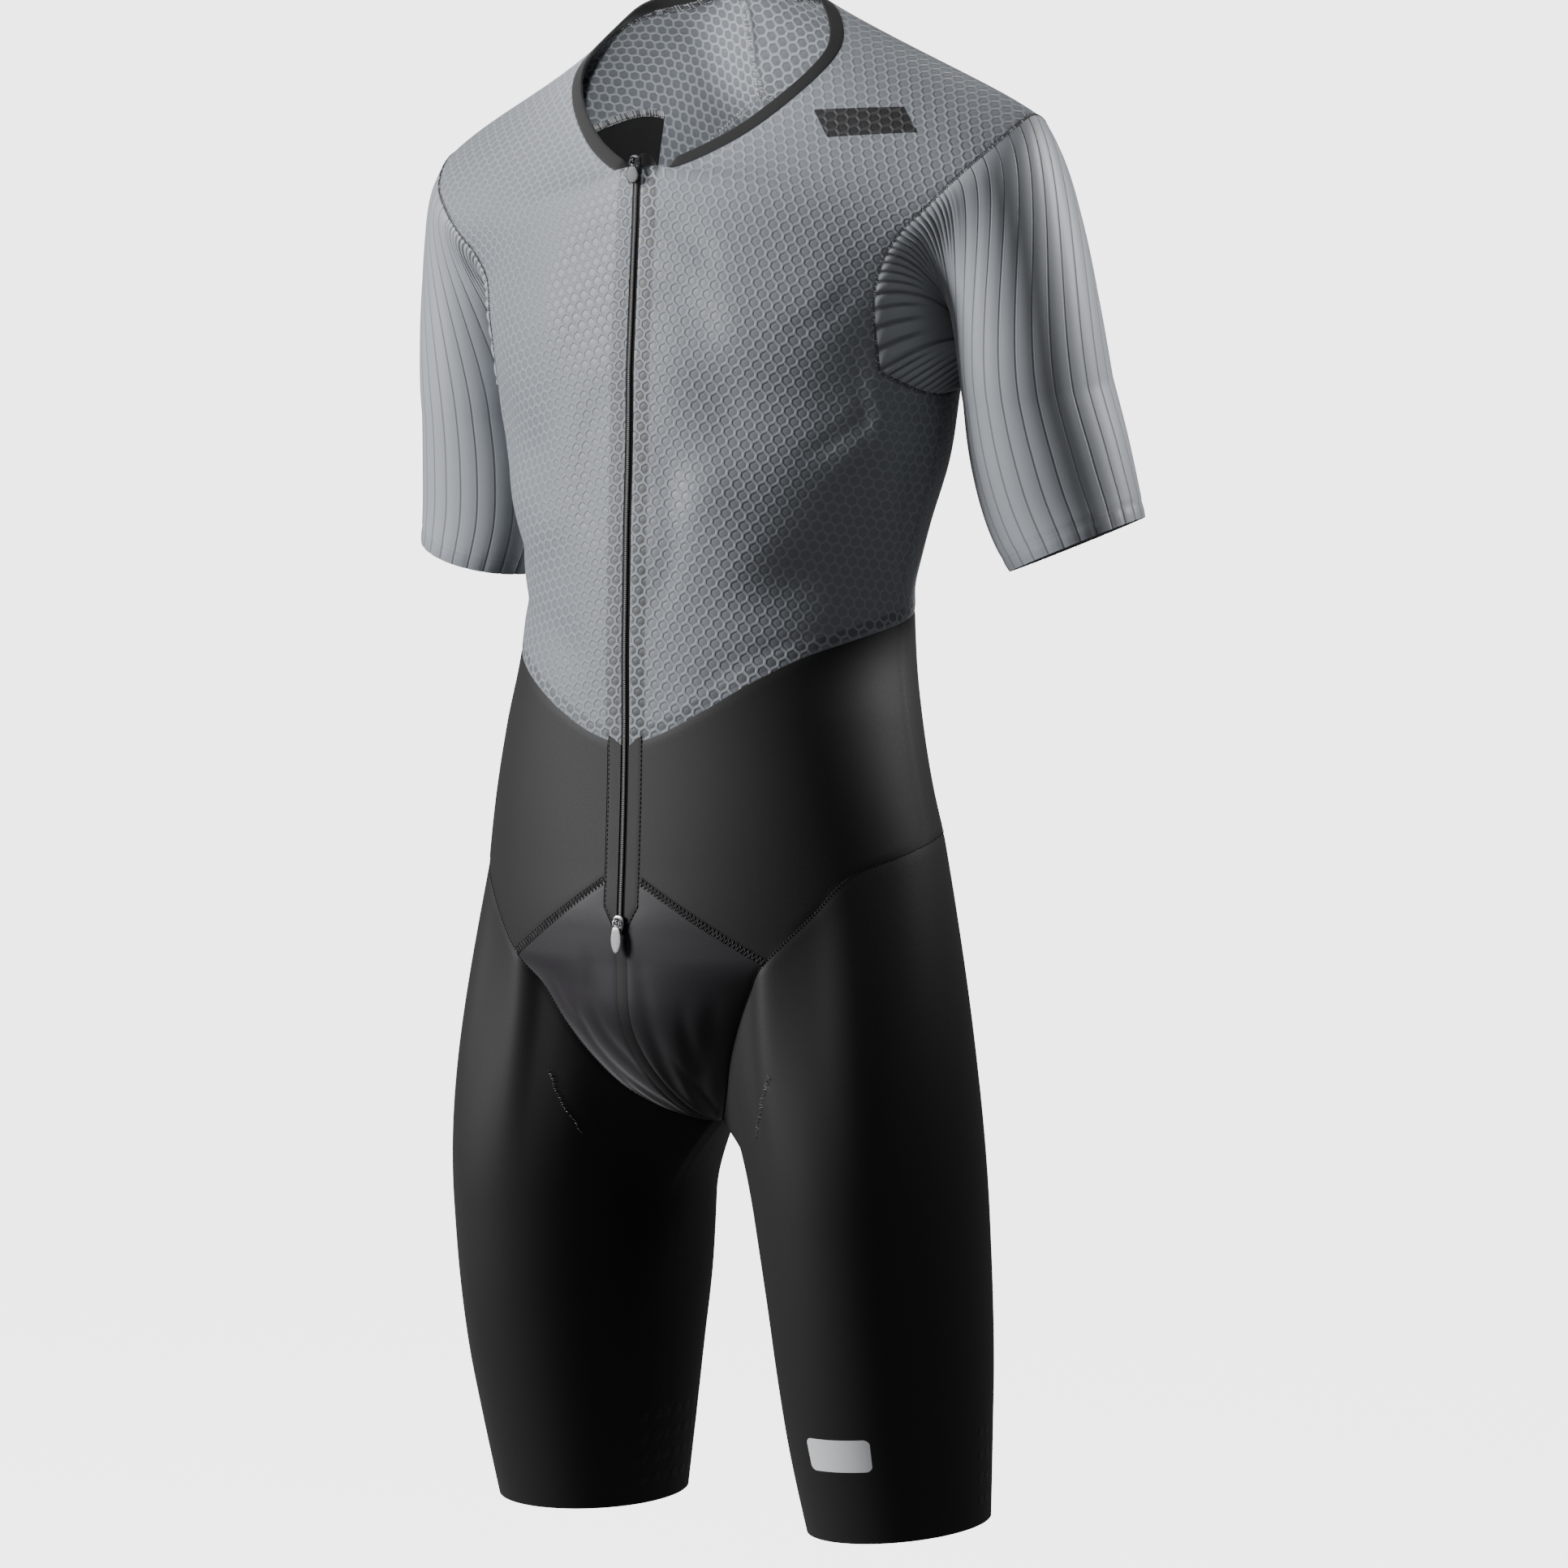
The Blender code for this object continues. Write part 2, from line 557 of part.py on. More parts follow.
def shared_normals(sheets):
    """Outward direction at every point, averaged over all the panels that meet there."""
    total = {}
    for points, _, faces in sheets:
        for face in faces:
            normal = face_normal(points[face])
            for v in face:
                k = key(points[v])
                total[k] = total.get(k, 0) + unit(normal) * math.sqrt(np.linalg.norm(normal))
    return {k: unit(v) for k, v in total.items()}


def wall(sheet, normals, thick, raised=0.0, gap=SEAM_GAP):
    """A closed wall of cloth: the sheet's points outside, the same moved in by thick inside."""
    points, lift, faces = sheet
    normal = np.array([normals[key(p)] for p in points])
    edges = {}
    for face in faces:
        for i, v in enumerate(face):
            edges[(face[i - 1], v)] = face
    pull, count = np.zeros_like(points), {}
    rim = [(a, b) for (a, b) in edges if (b, a) not in edges]
    for a, b in rim:
        inward = np.cross(unit(face_normal(points[edges[(a, b)]])), unit(points[b] - points[a]))
        for v in (a, b):
            count.setdefault(v, []).append(inward)
    for v, ways in count.items():
        both = ways[0] if len(ways) == 1 else sum(ways) / max(1 + float(ways[0] @ ways[-1]), 0.4)
        pull[v] = both * gap / 2
    facing, met = np.zeros(len(points)), np.zeros(len(points))
    for face in faces:
        way = unit(face_normal(points[face]))
        for v in face:
            facing[v] += way @ normal[v]
            met[v] += 1
    mitre = (1 / np.clip(facing / np.maximum(met, 1), 0.7, 1))[:, None]
    base = points + pull
    outer = base + normal * (lift[:, None] + raised * mitre)
    inner = base - normal * (thick - raised) * mitre
    size = len(points)
    solid = [list(f) for f in faces] + [[v + size for v in reversed(f)] for f in faces]
    both = np.vstack([outer, inner])
    for a, b in rim:
        solid += halves([b, a, a + size, b + size], both)
    return both, solid


def mirrored(solid):
    points, faces = solid
    return points * [-1, 1, 1], [list(reversed(f)) for f in faces]


def binding_sheet(front, normals):
    """The band round the neck, from the front panel's own edge and 9 mm beyond it."""
    rows = range(2 * ROW_NECK_FRONT, 2 * ROW_NECK_BACK + 1)
    edge = np.array([front[r, 0] for r in rows])
    away = np.array([normals[key(p)] for p in edge])
    along = unit(np.gradient(edge, axis=0))
    along[0], along[-1] = (1, 0.3, 0.3), (-1, 0, 0)
    off = unit(np.cross(away, along))
    off[0] = unit(np.array([0, 0.35, 0.94]))
    off[-1] = unit(np.array([0, off[-1][1], off[-1][2]]))
    beyond = [edge + off * (BINDING_WIDE * s) for s in (0, 0.5, 1)]
    return np.array(beyond)[::-1]


def ribbon(edge, next_to, start, wide, normals):
    """Two lines of points beside a panel's edge column, measured along its first facets."""
    step = unit(next_to - edge)
    return edge + step * start, edge + step * (start + wide)


def slab(left, right, normal, out, deep):
    """A closed strip between two lines of points, from out above them to deep below."""
    ring_points = [left + normal * out, right + normal * out, right - normal * deep, left - normal * deep]
    count = len(left)
    faces = [[0, count, 2 * count, 3 * count], [4 * count - 1, 3 * count - 1, 2 * count - 1, count - 1]]
    for i in range(count - 1):
        for a in range(4):
            b = (a + 1) % 4
            faces.append([a * count + i, a * count + i + 1, b * count + i + 1, b * count + i])
    return np.vstack(ring_points), faces


def facing_front(line):
    """Outward direction of a line of points on the middle of the front."""
    run = unit(np.gradient(line, axis=0))
    return unit(np.cross(run, np.array([1.0, 0, 0])) * [0, 1, 1])


def trims(panels, normals):
    """Binding, zip, plackets, centre strip and inner patch."""
    over, low = panels["mesh_front"][0][::-1], panels["mesh_front"][1]
    made = {}
    band = binding_sheet(over, normals)
    made["neck_binding"] = band
    # The plackets run on from the mesh beside the zip, down to the insert.
    rows, black = [], panels["abdomen"][0]
    insert = panels["insert"][0]
    outer_edge = np.vstack([black[:, 0], insert[1:2, 0]])
    heights = np.concatenate([outer_edge[:-1, 2], [-605.0]])
    inner_edge = ring(turn_at(np.full(len(heights), COIL_HALF), heights), heights)
    inner_edge[0] = low[-1, 0]
    made["placket"] = np.stack([inner_edge, outer_edge], 1)
    # Edge columns of the cloth beside the zip, top to bottom, and their neighbours.
    edge = np.vstack([over[2 * ROW_NECK_FRONT:0:-1, 0], low[:, 0], inner_edge[1:]])
    beside = np.vstack([over[2 * ROW_NECK_FRONT:0:-1, 1], low[:, 1], outer_edge[1:]])
    back = CLOTH + TAPE_BEHIND
    middle = edge * [0, 1, 1]
    top = middle[0] + unit(np.array([0, 0.35, 0.94])) * np.array([[BINDING_WIDE], [BINDING_WIDE / 2]])
    middle = np.vstack([top, middle])
    front_way = facing_front(middle)
    edge, beside = edge.copy(), beside.copy()
    edge[0], beside[0] = blend(edge[0], edge[1], 0.2), blend(beside[0], beside[1], 0.2)
    made["tape"] = edge, beside, front_way[2:], back
    middle[-1, 2] = ZIP_END - 2
    made["coil"] = middle, front_way
    made["strip"] = insert[2:, 0]
    return made


MATERIALS = {
    "grey_mesh": ((0.150, 0.162, 0.178, 1), 0.75, 0.0),
    "grey_ribbed": ((0.145, 0.157, 0.173, 1), 0.55, 0.0),
    "black_lycra": ((0.016, 0.016, 0.018, 1), 0.55, 0.0),
    "black_insert": ((0.020, 0.017, 0.024, 1), 0.42, 0.0),
    "black_tape": ((0.010, 0.010, 0.011, 1), 0.70, 0.0),
    "black_coil": ((0.008, 0.008, 0.009, 1), 0.45, 0.0),
    "silver_metal": ((0.62, 0.62, 0.63, 1), 0.30, 1.0),
}


def start_empty():
    for thing in list(bpy.data.objects):
        bpy.data.objects.remove(thing, do_unlink=True)


def collection(name, hidden=False):
    group = bpy.data.collections.new(name)
    bpy.context.scene.collection.children.link(group)
    group.hide_render = hidden
    return group


def material(node, kind):
    color, rough, metal = MATERIALS[kind]
    made = bpy.data.materials.new(node + "_" + kind)
    made.use_nodes = True
    shader = made.node_tree.nodes["Principled BSDF"]
    shader.inputs["Base Color"].default_value = color
    shader.inputs["Roughness"].default_value = rough
    shader.inputs["Metallic"].default_value = metal
    made.diffuse_color = color
    return made


def solid_object(name, solid, kind, group, origin=(0, 0, 0)):
    """A named object from points in millimetres and faces, its origin where it is wanted."""
    points, faces = solid
    mesh = bpy.data.meshes.new(name)
    shape = bmesh.new()
    corners = [shape.verts.new(tuple((np.asarray(p) - origin) * MM)) for p in points]
    for face in faces:
        shape.faces.new([corners[v] for v in face])
    bmesh.ops.triangulate(shape, faces=shape.faces[:], quad_method="SHORT_EDGE")
    shape.to_mesh(mesh)
    shape.free()
    thing = bpy.data.objects.new(name, mesh)
    thing.location = tuple(np.asarray(origin, float) * MM)
    thing.data.materials.append(material(name, kind))
    group.objects.link(thing)
    return thing


# Half widths of the flat metal parts down their length, in mm, from the pivot of each.
PULL_TOP = ((-5.0, 2.8), (-6.5, 4.1), (-8.0, 4.9), (-10.0, 5.25), (-12.0, 4.8), (-13.7, 3.4), (-14.6, 1.5))
PULL_LOW = ((-5.0, 2.8), (-8.0, 3.8), (-12.0, 4.25), (-16.0, 3.7), (-19.0, 2.4), (-20.8, 0.9))
SLIDER = ((3.6, 2.6), (2.4, 3.9), (0.0, 4.3), (-3.0, 4.1), (-6.0, 3.2), (-7.4, 2.0))
BAR, ARM_IN, ARM_OUT = 0.55, 1.25, 2.8
BAIL_HOLE, BAIL_OUT, BAIL_HALF = 1.35, 2.45, 0.8
PIVOT_OFF = 1.9  # from the slider's face to the pivot
PLATE_THICK = 1.8


def flat_part(grids, way, thick, centre):
    """A flat part cut from grids of points, thick along way and centred on them or behind them."""
    sheet = weld(grids)
    normals = {key(p): np.array(way, float) for p in sheet[0]}
    return wall(sheet, normals, thick, thick / 2 if centre else 0.0, 0.0)


def columns_of(rows, shares):
    return np.array([[(half * s, 0.0, z) for s in shares] for z, half in rows])


def pull_tab(rows, pivot):
    """A tab hanging from its pivot, its crossbar run through the bail of the slider."""
    xs = (-ARM_OUT, -ARM_IN, ARM_IN, ARM_OUT)
    bar = np.array([[(x, 0.0, z) for x in xs] for z in (BAR, -BAR)])
    arms = np.array([[(x, 0.0, z) for x in xs] for z in (-BAR, -5.0)])
    blade = columns_of(rows, (-1, -ARM_IN / ARM_OUT, ARM_IN / ARM_OUT, 1))
    solid, faces = flat_part([bar, arms[:, :2], arms[:, 2:], blade], (0, -1, 0), 2 * BAR, True)
    return solid + pivot, faces


def slider(pivot):
    """The slider's face plate, behind the pivot, and the bail that stands out from it."""
    plate = columns_of(SLIDER, (-1, -0.5, 0, 0.5, 1))
    face, faces = flat_part([plate], (0, -1, 0), PLATE_THICK, False)
    turns = np.linspace(0, 2 * math.pi, 21)
    deep = PIVOT_OFF + 0.7
    outer = np.minimum(BAIL_OUT / np.maximum(np.abs(np.sin(turns)), 1e-6), deep / np.maximum(np.cos(turns), 1e-6))
    outer = np.where(np.cos(turns) < 0, BAIL_OUT, outer)
    loop = np.array([[(0.0, r * math.cos(t), r * math.sin(t)) for t, r in zip(turns, radius)]
                     for radius in (np.full(21, BAIL_HOLE), outer)])
    bail, bail_faces = flat_part([loop], (1, 0, 0), 2 * BAIL_HALF, True)
    return (face + pivot + [0, PIVOT_OFF, 0], faces), (bail + pivot, bail_faces)


def build():
    start_empty()
    parts, cutters = collection(NAME), collection("cutters", True)
    panels = make_panels()
    tubes = tube_grids()
    sheets = {name: weld(grids) for name, grids in panels.items()}
    sheets.update({name: weld(*grids) for name, grids in tubes.items()})
    normals = shared_normals(both_halves(sheets))
    made = trims(panels, normals)
    band = made["neck_binding"]
    sheets["placket"] = weld([made["placket"]])
    joined = {"neck_binding": weld([band, (band * [-1, 1, 1])[:, ::-1]]), "centre_strip": weld([strip_grid(made["strip"])])}
    normals = shared_normals(both_halves(sheets) + list(joined.values()))
    for point in np.vstack([band[:, 0], band[:, 0] * [-1, 1, 1]]):
        normals[key(point)] = unit(normals[key(point)] * [0, 1, 1])
    for name, (label, kind) in PANEL_NAMES.items():
        solid = wall(sheets[name], normals, CLOTH)
        solid_object(label + "_left", solid, kind, parts)
        solid_object(label + "_right", mirrored(solid), kind, parts)
    solid_object("neck_binding", wall(joined["neck_binding"], normals, BINDING_THICK, 0.35), "black_tape", parts)
    solid_object("crotch_strip", wall(joined["centre_strip"], normals, CLOTH), "black_lycra", parts)
    edge, beside, front_way, back = made["tape"]
    near, far = ribbon(edge, beside, -2.9, TAPE_WIDE, normals)
    tape = slab(near, far, front_way, -back, back + TAPE_THICK)
    solid_object("zip_tape_left", tape, "black_tape", parts)
    solid_object("zip_tape_right", mirrored(tape), "black_tape", parts)
    middle, way = made["coil"]
    half = np.array([COIL_HALF - SEAM_GAP, 0, 0])
    solid_object("zip_coil", slab(middle - half, middle + half, way, COIL_PROUD, COIL_DEEP), "black_coil", parts)
    patch = weld([panels["mesh_back"][0][:4, 2:5]])
    solid = wall(patch, normals, PATCH_THICK, -CLOTH - SEAM_GAP)
    solid_object("inner_back_patch", mirrored(solid), "black_lycra", parts)
    for label, rows, height, front in (("top", PULL_TOP, -110.5, -94.2), ("bottom", PULL_LOW, -597.0, None)):
        if front is None:
            front = float(ring(0.0, height)[1]) - COIL_PROUD
        pivot = np.array([0, front - SEAM_GAP - PLATE_THICK - PIVOT_OFF, height])
        body, bail = slider(pivot)
        slide = solid_object("zip_slider_" + label, body, "silver_metal", parts)
        hoop = solid_object("zip_slider_" + label + "_bail", bail, "silver_metal", cutters)
        hoop.display_type = "WIRE"
        join = slide.modifiers.new("bail", "BOOLEAN")
        join.operation, join.object, join.solver = "UNION", hoop, "EXACT"
        solid_object("zip_pull_" + label, pull_tab(rows, pivot), "silver_metal", parts, origin=pivot)


PANEL_NAMES = {
    "mesh_front": ("mesh_front", "grey_mesh"),
    "mesh_back": ("mesh_back", "grey_mesh"),
    "sleeve": ("sleeve", "grey_ribbed"),
    "gusset": ("underarm_gusset", "grey_ribbed"),
    "abdomen": ("front_hip_panel", "black_lycra"),
    "seat": ("seat_panel", "black_lycra"),
    "insert": ("front_insert", "black_insert"),
    "placket": ("zip_placket", "black_lycra"),
    "leg": ("leg", "black_lycra"),
}


def both_halves(sheets):
    left = list(sheets.values())
    return left + [(p * [-1, 1, 1], lift, [list(reversed(f)) for f in faces]) for p, lift, faces in left]


def strip_grid(side):
    """The strip between the inserts, carried under the crotch to the seat."""
    line = np.vstack([side, [STRIP_HALF, 8, -733]])
    return np.stack([line * [-1, 1, 1], line], 1)


build()
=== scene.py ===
"""Cycling skinsuit, hollow, in the shape it has when worn: the cloth, zip and sewing as they look."""
import math

import bmesh
import bpy
import numpy as np
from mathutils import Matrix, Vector


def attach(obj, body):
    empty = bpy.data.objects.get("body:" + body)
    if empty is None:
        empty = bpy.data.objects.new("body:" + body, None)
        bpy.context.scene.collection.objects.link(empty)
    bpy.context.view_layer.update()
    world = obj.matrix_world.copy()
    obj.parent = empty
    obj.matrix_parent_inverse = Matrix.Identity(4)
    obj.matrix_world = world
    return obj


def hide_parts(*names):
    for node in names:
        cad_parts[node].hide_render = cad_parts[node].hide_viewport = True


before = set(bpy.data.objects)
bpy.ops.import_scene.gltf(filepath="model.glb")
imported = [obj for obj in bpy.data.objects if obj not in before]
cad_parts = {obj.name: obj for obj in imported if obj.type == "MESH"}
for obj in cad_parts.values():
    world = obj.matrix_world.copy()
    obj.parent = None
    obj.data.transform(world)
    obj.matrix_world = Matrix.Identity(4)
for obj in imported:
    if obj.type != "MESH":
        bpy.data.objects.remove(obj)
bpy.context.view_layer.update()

# Mesh front. Embossed stretch mesh, one piece a side from the zip over the shoulder to the yoke
# seam on the back, its cells standing in rows down the body. Thin jersey behind it shows dark
# through the cells beside the zip and above the waist seam, where it is doubled for the sewing.
# Height, half width, how far the side lies back, depth in front and behind, roundness of both.
RINGS = (
    (-247, 168, 8, 102, 112, 1.10, 1.06),
    (-300, 161, 8, 103, 102, 1.08, 1.04),
    (-345, 148, 6, 105, 92, 1.05, 1.02),
    (-385, 140, 2, 106, 88, 1.03, 1.02),
    (-425, 141, 0, 107, 88, 1.08, 1.02),
    (-470, 149, -5, 107, 87, 1.15, 1.02),
    (-515, 158, -7, 108, 92, 1.15, 1.02),
    (-560, 168, -4, 110, 102, 1.09, 1.03),
    (-600, 177, 2, 112, 114, 1.03, 1.04),
    (-640, 184, 4, 110, 124, 1.02, 1.05),
)
# Inner edge x, y, z, armhole x, y, z, lean and the bow at each end, from the zip over to the back.
UPPER = (
    (0, -102, -247, 153, -44, -247, 0, 64, 90),
    (0, -99, -200, 154, -50, -205, 4, 52, 66),
    (0, -96, -155, 159, -47, -178, 12, 50, 55),
    (0, -93, -116, 171, -45, -160, 30, 45, 45),
    (25.5, -83.6, -114.6, 186, -42, -147, 50, 20, 35),
    (62.6, -62.7, -94.6, 202, -36, -131, 65, 5, 30),
    (92.8, -39.3, -65.5, 218, -24, -113, 80, -5, 25),
    (105.3, -18.8, -41.1, 229, -4, -95, 90, -15, 22),
    (97.1, -1.8, -20.2, 232, 16, -85, 100, -18, 20),
    (76, 12, -3, 228, 38, -92, 112, -5, 26),
    (44, 20, 4, 216, 57, -112, 124, 25, 34),
    (0, 24, 6, 201, 71, -136, 135, 60, 40),
    (0, 44, -57, 184, 79, -166, 148, 70, 44),
    (0, 76, -110, 168, 80, -196, 158, 66, 50),
    (0, 98, -170, 160, 75, -222, 170, 62, 70),
    (0, 112, -247, 158, 64, -247, 180, 60, 90),
)
WAIST_SEAM = ((0.00, -485), (0.10, -477), (0.22, -463), (0.36, -447), (0.55, -430), (0.80, -416),
              (1.00, -407), (1.35, -395), (1.70, -388), (2.00, -386))  # turn, height
ARMPIT_DROP, ROUND = 13, 1.6569
ZIP_HALF, PLACKET_EDGE, NECK_FRONT, NECK_BACK, YOKE, LAST = 3.2, 14.0, 3, 11, 12, 15
CELL_WIDE, CELL_TALL = 8.3, 12.8  # pitch of the mesh, in mm
DEEP_FRONT = 1.0  # thickness of the mesh cloth


def unit(v):
    return v / np.maximum(np.linalg.norm(v, axis=-1, keepdims=True), 1e-12)


def hermite(start, end, leave, arrive, t):
    """Curve from start to end that sets out along leave and comes in along arrive."""
    return (start * (2 * t**3 - 3 * t**2 + 1) + end * (3 * t**2 - 2 * t**3)
            + leave * (t**3 - 2 * t**2 + t) + arrive * (t**3 - t**2))


def smooth(knots, values, at):
    """Cubic curve through the knots, its slopes taken from their neighbours."""
    knots = np.asarray(knots, float)
    values = np.asarray(values, float).reshape(len(knots), -1)
    at = np.asarray(at, float)
    step = np.diff(knots)[:, None]
    rise = np.diff(values, axis=0) / step
    middle = (rise[:-1] * step[1:] + rise[1:] * step[:-1]) / (step[:-1] + step[1:])
    slope = np.vstack([1.5 * rise[:1] - 0.5 * middle[:1], middle, 1.5 * rise[-1:] - 0.5 * middle[-1:]])
    cell = np.clip(np.searchsorted(knots, at.ravel(), side="right") - 1, 0, len(knots) - 2)
    span = step[cell]
    t = ((at.ravel() - knots[cell]) / span[:, 0])[:, None]
    found = hermite(values[cell], values[cell + 1], slope[cell] * span, slope[cell + 1] * span, t)
    return found.reshape(at.shape + (values.shape[1],))


def ring(turn, height):
    """Point of the body at a height; turn runs 0 front, 1 side, 2 back (wearer's left)."""
    turn, height = np.broadcast_arrays(np.asarray(turn, float), np.asarray(height, float))
    table = np.array(RINGS)[::-1]
    half, side, front, back, full_f, full_b = np.moveaxis(
        smooth(table[:, 0], table[:, 1:], np.clip(height, table[0, 0], table[-1, 0])), -1, 0)
    zero = np.zeros_like(half)
    ahead = np.stack([zero, -front], -1), np.stack([half, side], -1)
    behind = np.stack([half, side], -1), np.stack([zero, back], -1)
    out_f, in_f = np.stack([ROUND * full_f * half, zero],
                           -1), np.stack([zero, ROUND * full_f * (front + side)], -1)
    out_b, in_b = np.stack([zero, ROUND * full_b * (back - side)],
                           -1), np.stack([-ROUND * full_b * half, zero], -1)
    t = np.clip(turn, 0, 1)[..., None], np.clip(turn - 1, 0, 1)[..., None]
    flat = np.where((turn <= 1)[..., None], hermite(*ahead, out_f, in_f, t[0]),
                    hermite(*behind, out_b, in_b, t[1]))
    return np.concatenate([flat, height[..., None]], -1)


def turn_at(x, height, back=False):
    """The turn at which the ring at a height is x from the middle plane."""
    x = np.asarray(x, float)
    low, high = (np.ones_like(x), np.full_like(x, 2.0)) if back else (np.zeros_like(x), np.ones_like(x))
    for _ in range(30):
        mid = (low + high) / 2
        more = (ring(mid, height)[..., 0] < x) != back
        low, high = np.where(more, mid, low), np.where(more, high, mid)
    return (low + high) / 2


def upper_rows():
    """Ends and leaving directions of the rows, with one row of the body below at each end."""
    rows = np.array(UPPER, float)
    inner, outer, lean = rows[:, :3], rows[:, 3:6], np.radians(rows[:, 6])
    chord = outer - inner
    away = np.stack([0 * lean, -np.cos(lean), np.sin(lean)], -1)
    away = unit(away - unit(chord) * (away * unit(chord)).sum(-1, keepdims=True))
    body = np.concatenate([inner, outer, chord + rows[:, 7:8] * away, chord - rows[:, 8:9] * away], 1)
    ends = []
    for height, back in ((-290.0, False), (-247.0, False), (-247.0, True), (-290.0, True)):
        far = float(turn_at(outer[-1 if back else 0, 0], height, back))
        start, eps = (2.0 if back else 0.0), 1e-4 * (-1 if back else 1)
        a, b = ring(start, height), ring(far, height)
        leave, arrive = ring(start + eps, height) - a, b - ring(far - eps, height)
        ends.append(np.concatenate([a, b, leave / abs(eps) * abs(far - start),
                                    arrive / abs(eps) * abs(far - start)]))
    body[0], body[-1] = ends[1], ends[2]
    return np.arange(-1, len(rows) + 1, dtype=float), np.vstack([ends[0], body, ends[3]])


UPPER_KNOTS, UPPER_ROWS = upper_rows()


def upper(across, row):
    """Point of the upper body; across runs 0 to 1 from zip, neckline or centre back to armhole."""
    across, row = np.broadcast_arrays(np.asarray(across, float), np.asarray(row, float))
    found = smooth(UPPER_KNOTS, UPPER_ROWS, row)
    return hermite(found[..., :3], found[..., 3:6], found[..., 6:9], found[..., 9:12], across[..., None])


UNDER_FRONT, UNDER_BACK = float(turn_at(153.0, -247.0)), float(turn_at(158.0, -247.0, True))


def underarm(share):
    """The bottom of the armhole on the body, share 0 at the front to 1 at the back."""
    return ring(UNDER_FRONT + (UNDER_BACK - UNDER_FRONT) * share,
                -247 - ARMPIT_DROP * np.sin(math.pi * share))


def armhole(row):
    """The armhole seam: row 0 to 15 over the shoulder, 15 to 19 back under the arm."""
    row = np.asarray(row, float)
    under = underarm(1 - np.clip(row - LAST, 0, 4) / 4)
    return np.where((row <= LAST)[..., None], upper(1.0, np.clip(row, 0, LAST)), under)


def waist_height(turn):
    return smooth(*np.array(WAIST_SEAM, float).T, turn)[..., 0]


def blend(start, end, share):
    return start + (end - start) * share


def over_grid(first_row, last_row, steps, cols):
    """Rows of points over the shoulder, the inner edge kept clear of the zip in front."""
    low = np.zeros(steps + 1)
    rows = np.linspace(first_row, last_row, steps + 1)
    need = rows <= NECK_FRONT
    a, b = np.zeros(need.sum()), np.full(need.sum(), 0.5)
    for _ in range(30):
        mid = (a + b) / 2
        short = upper(mid, rows[need])[..., 0] < ZIP_HALF
        a, b = np.where(short, mid, a), np.where(short, b, mid)
    low[need] = a
    return upper(low[:, None] + (1 - low[:, None]) * np.linspace(0, 1, cols + 1)[None], rows[:, None])


def body_grid(top, top_turn, low_turn, low_height, steps, keep_x=None):
    """Rows of points on the body between its top points and a line that runs round it."""
    grid = [top]
    for share in np.linspace(0, 1, steps + 1)[1:]:
        turn, height = blend(top_turn, low_turn, share), blend(top[:, 2], low_height, share)
        if keep_x is not None:
            turn[0] = turn_at(keep_x, height[0])
        grid.append(ring(turn, height))
    return np.array(grid)


def joined(grids):
    """Numbers the points of grids so that points in the same place have one number."""
    points = np.vstack([g.reshape(-1, 3) for g in grids])
    _, first, number = np.unique(np.round(points / 0.02).astype(np.int64), axis=0, return_index=True,
                                 return_inverse=True)
    number = number.ravel()
    cuts = np.cumsum([0] + [g.shape[0] * g.shape[1] for g in grids])
    return points[first], first, [number[a:b].reshape(g.shape[:2]) for a, b, g in zip(cuts, cuts[1:], grids)]


def laid_flat(grids, every):
    """The same grids laid flat like the cut cloth, in mm, with every so many points worked out."""
    small = [g[::every, ::every] for g in grids]
    points, first, index = joined(small)
    flat, links = np.zeros((len(points), 2)), []
    for grid, at in zip(small, index):
        across = np.linalg.norm(np.diff(grid, axis=1), axis=-1)
        down = np.linalg.norm(np.diff(grid, axis=0), axis=-1).mean(1)
        wide = np.concatenate([np.zeros((len(grid), 1)), np.cumsum(across, 1)], 1)
        tall = np.repeat(-np.concatenate([[0], np.cumsum(down)])[:, None], grid.shape[1], 1)
        if links:
            known = flat[at[0]]
            wide, tall = wide + known[0, 0], tall + known[0, 1]
        flat[at] = np.stack([wide, tall], -1)
        links += [np.stack([at[a].ravel(), at[b].ravel()], 1) for a, b in (
            (np.s_[:, :-1], np.s_[:, 1:]), (np.s_[:-1], np.s_[1:]),
            (np.s_[:-1, :-1], np.s_[1:, 1:]), (np.s_[1:, :-1], np.s_[:-1, 1:]))]
    a, b = np.unique(np.sort(np.vstack(links), 1), axis=0).T
    a, b = a[a != b], b[a != b]
    length = np.linalg.norm(points[a] - points[b], axis=1)
    met = np.bincount(np.concatenate([a, b]), minlength=len(flat))[:, None]
    for _ in range(2500):
        gap = flat[b] - flat[a]
        far = np.linalg.norm(gap, axis=1)
        move = gap * (0.5 * (far - length) / np.maximum(far, 1e-9))[:, None]
        shift = np.zeros_like(flat)
        np.add.at(shift, a, move)
        np.add.at(shift, b, -move)
        flat += shift / met * 1.6
    flat -= flat[index[0][0, 0]]
    made = []
    for grid, at in zip(grids, index):
        rows, cols = (np.linspace(0, n - 1, m) for n, m in zip(at.shape, grid.shape))
        tall = smooth(np.arange(at.shape[0]), flat[at].reshape(at.shape[0], -1), rows)
        tall = tall.reshape(-1, at.shape[1], 2)
        wide = smooth(np.arange(at.shape[1]), np.swapaxes(tall, 0, 1).reshape(at.shape[1], -1), cols)
        made.append(np.swapaxes(wide.reshape(grid.shape[1], -1, 2), 0, 1))
    return made


def near(points, line):
    """Distance of each point from a line of points, in mm."""
    best = np.full(len(points), 1e9)
    for a, b in zip(line[:-1], line[1:]):
        way = b - a
        t = np.clip(((points - a) @ way) / max(way @ way, 1e-9), 0, 1)
        best = np.minimum(best, ((points - a - t[:, None] * way) ** 2).sum(1))
    return np.sqrt(best)


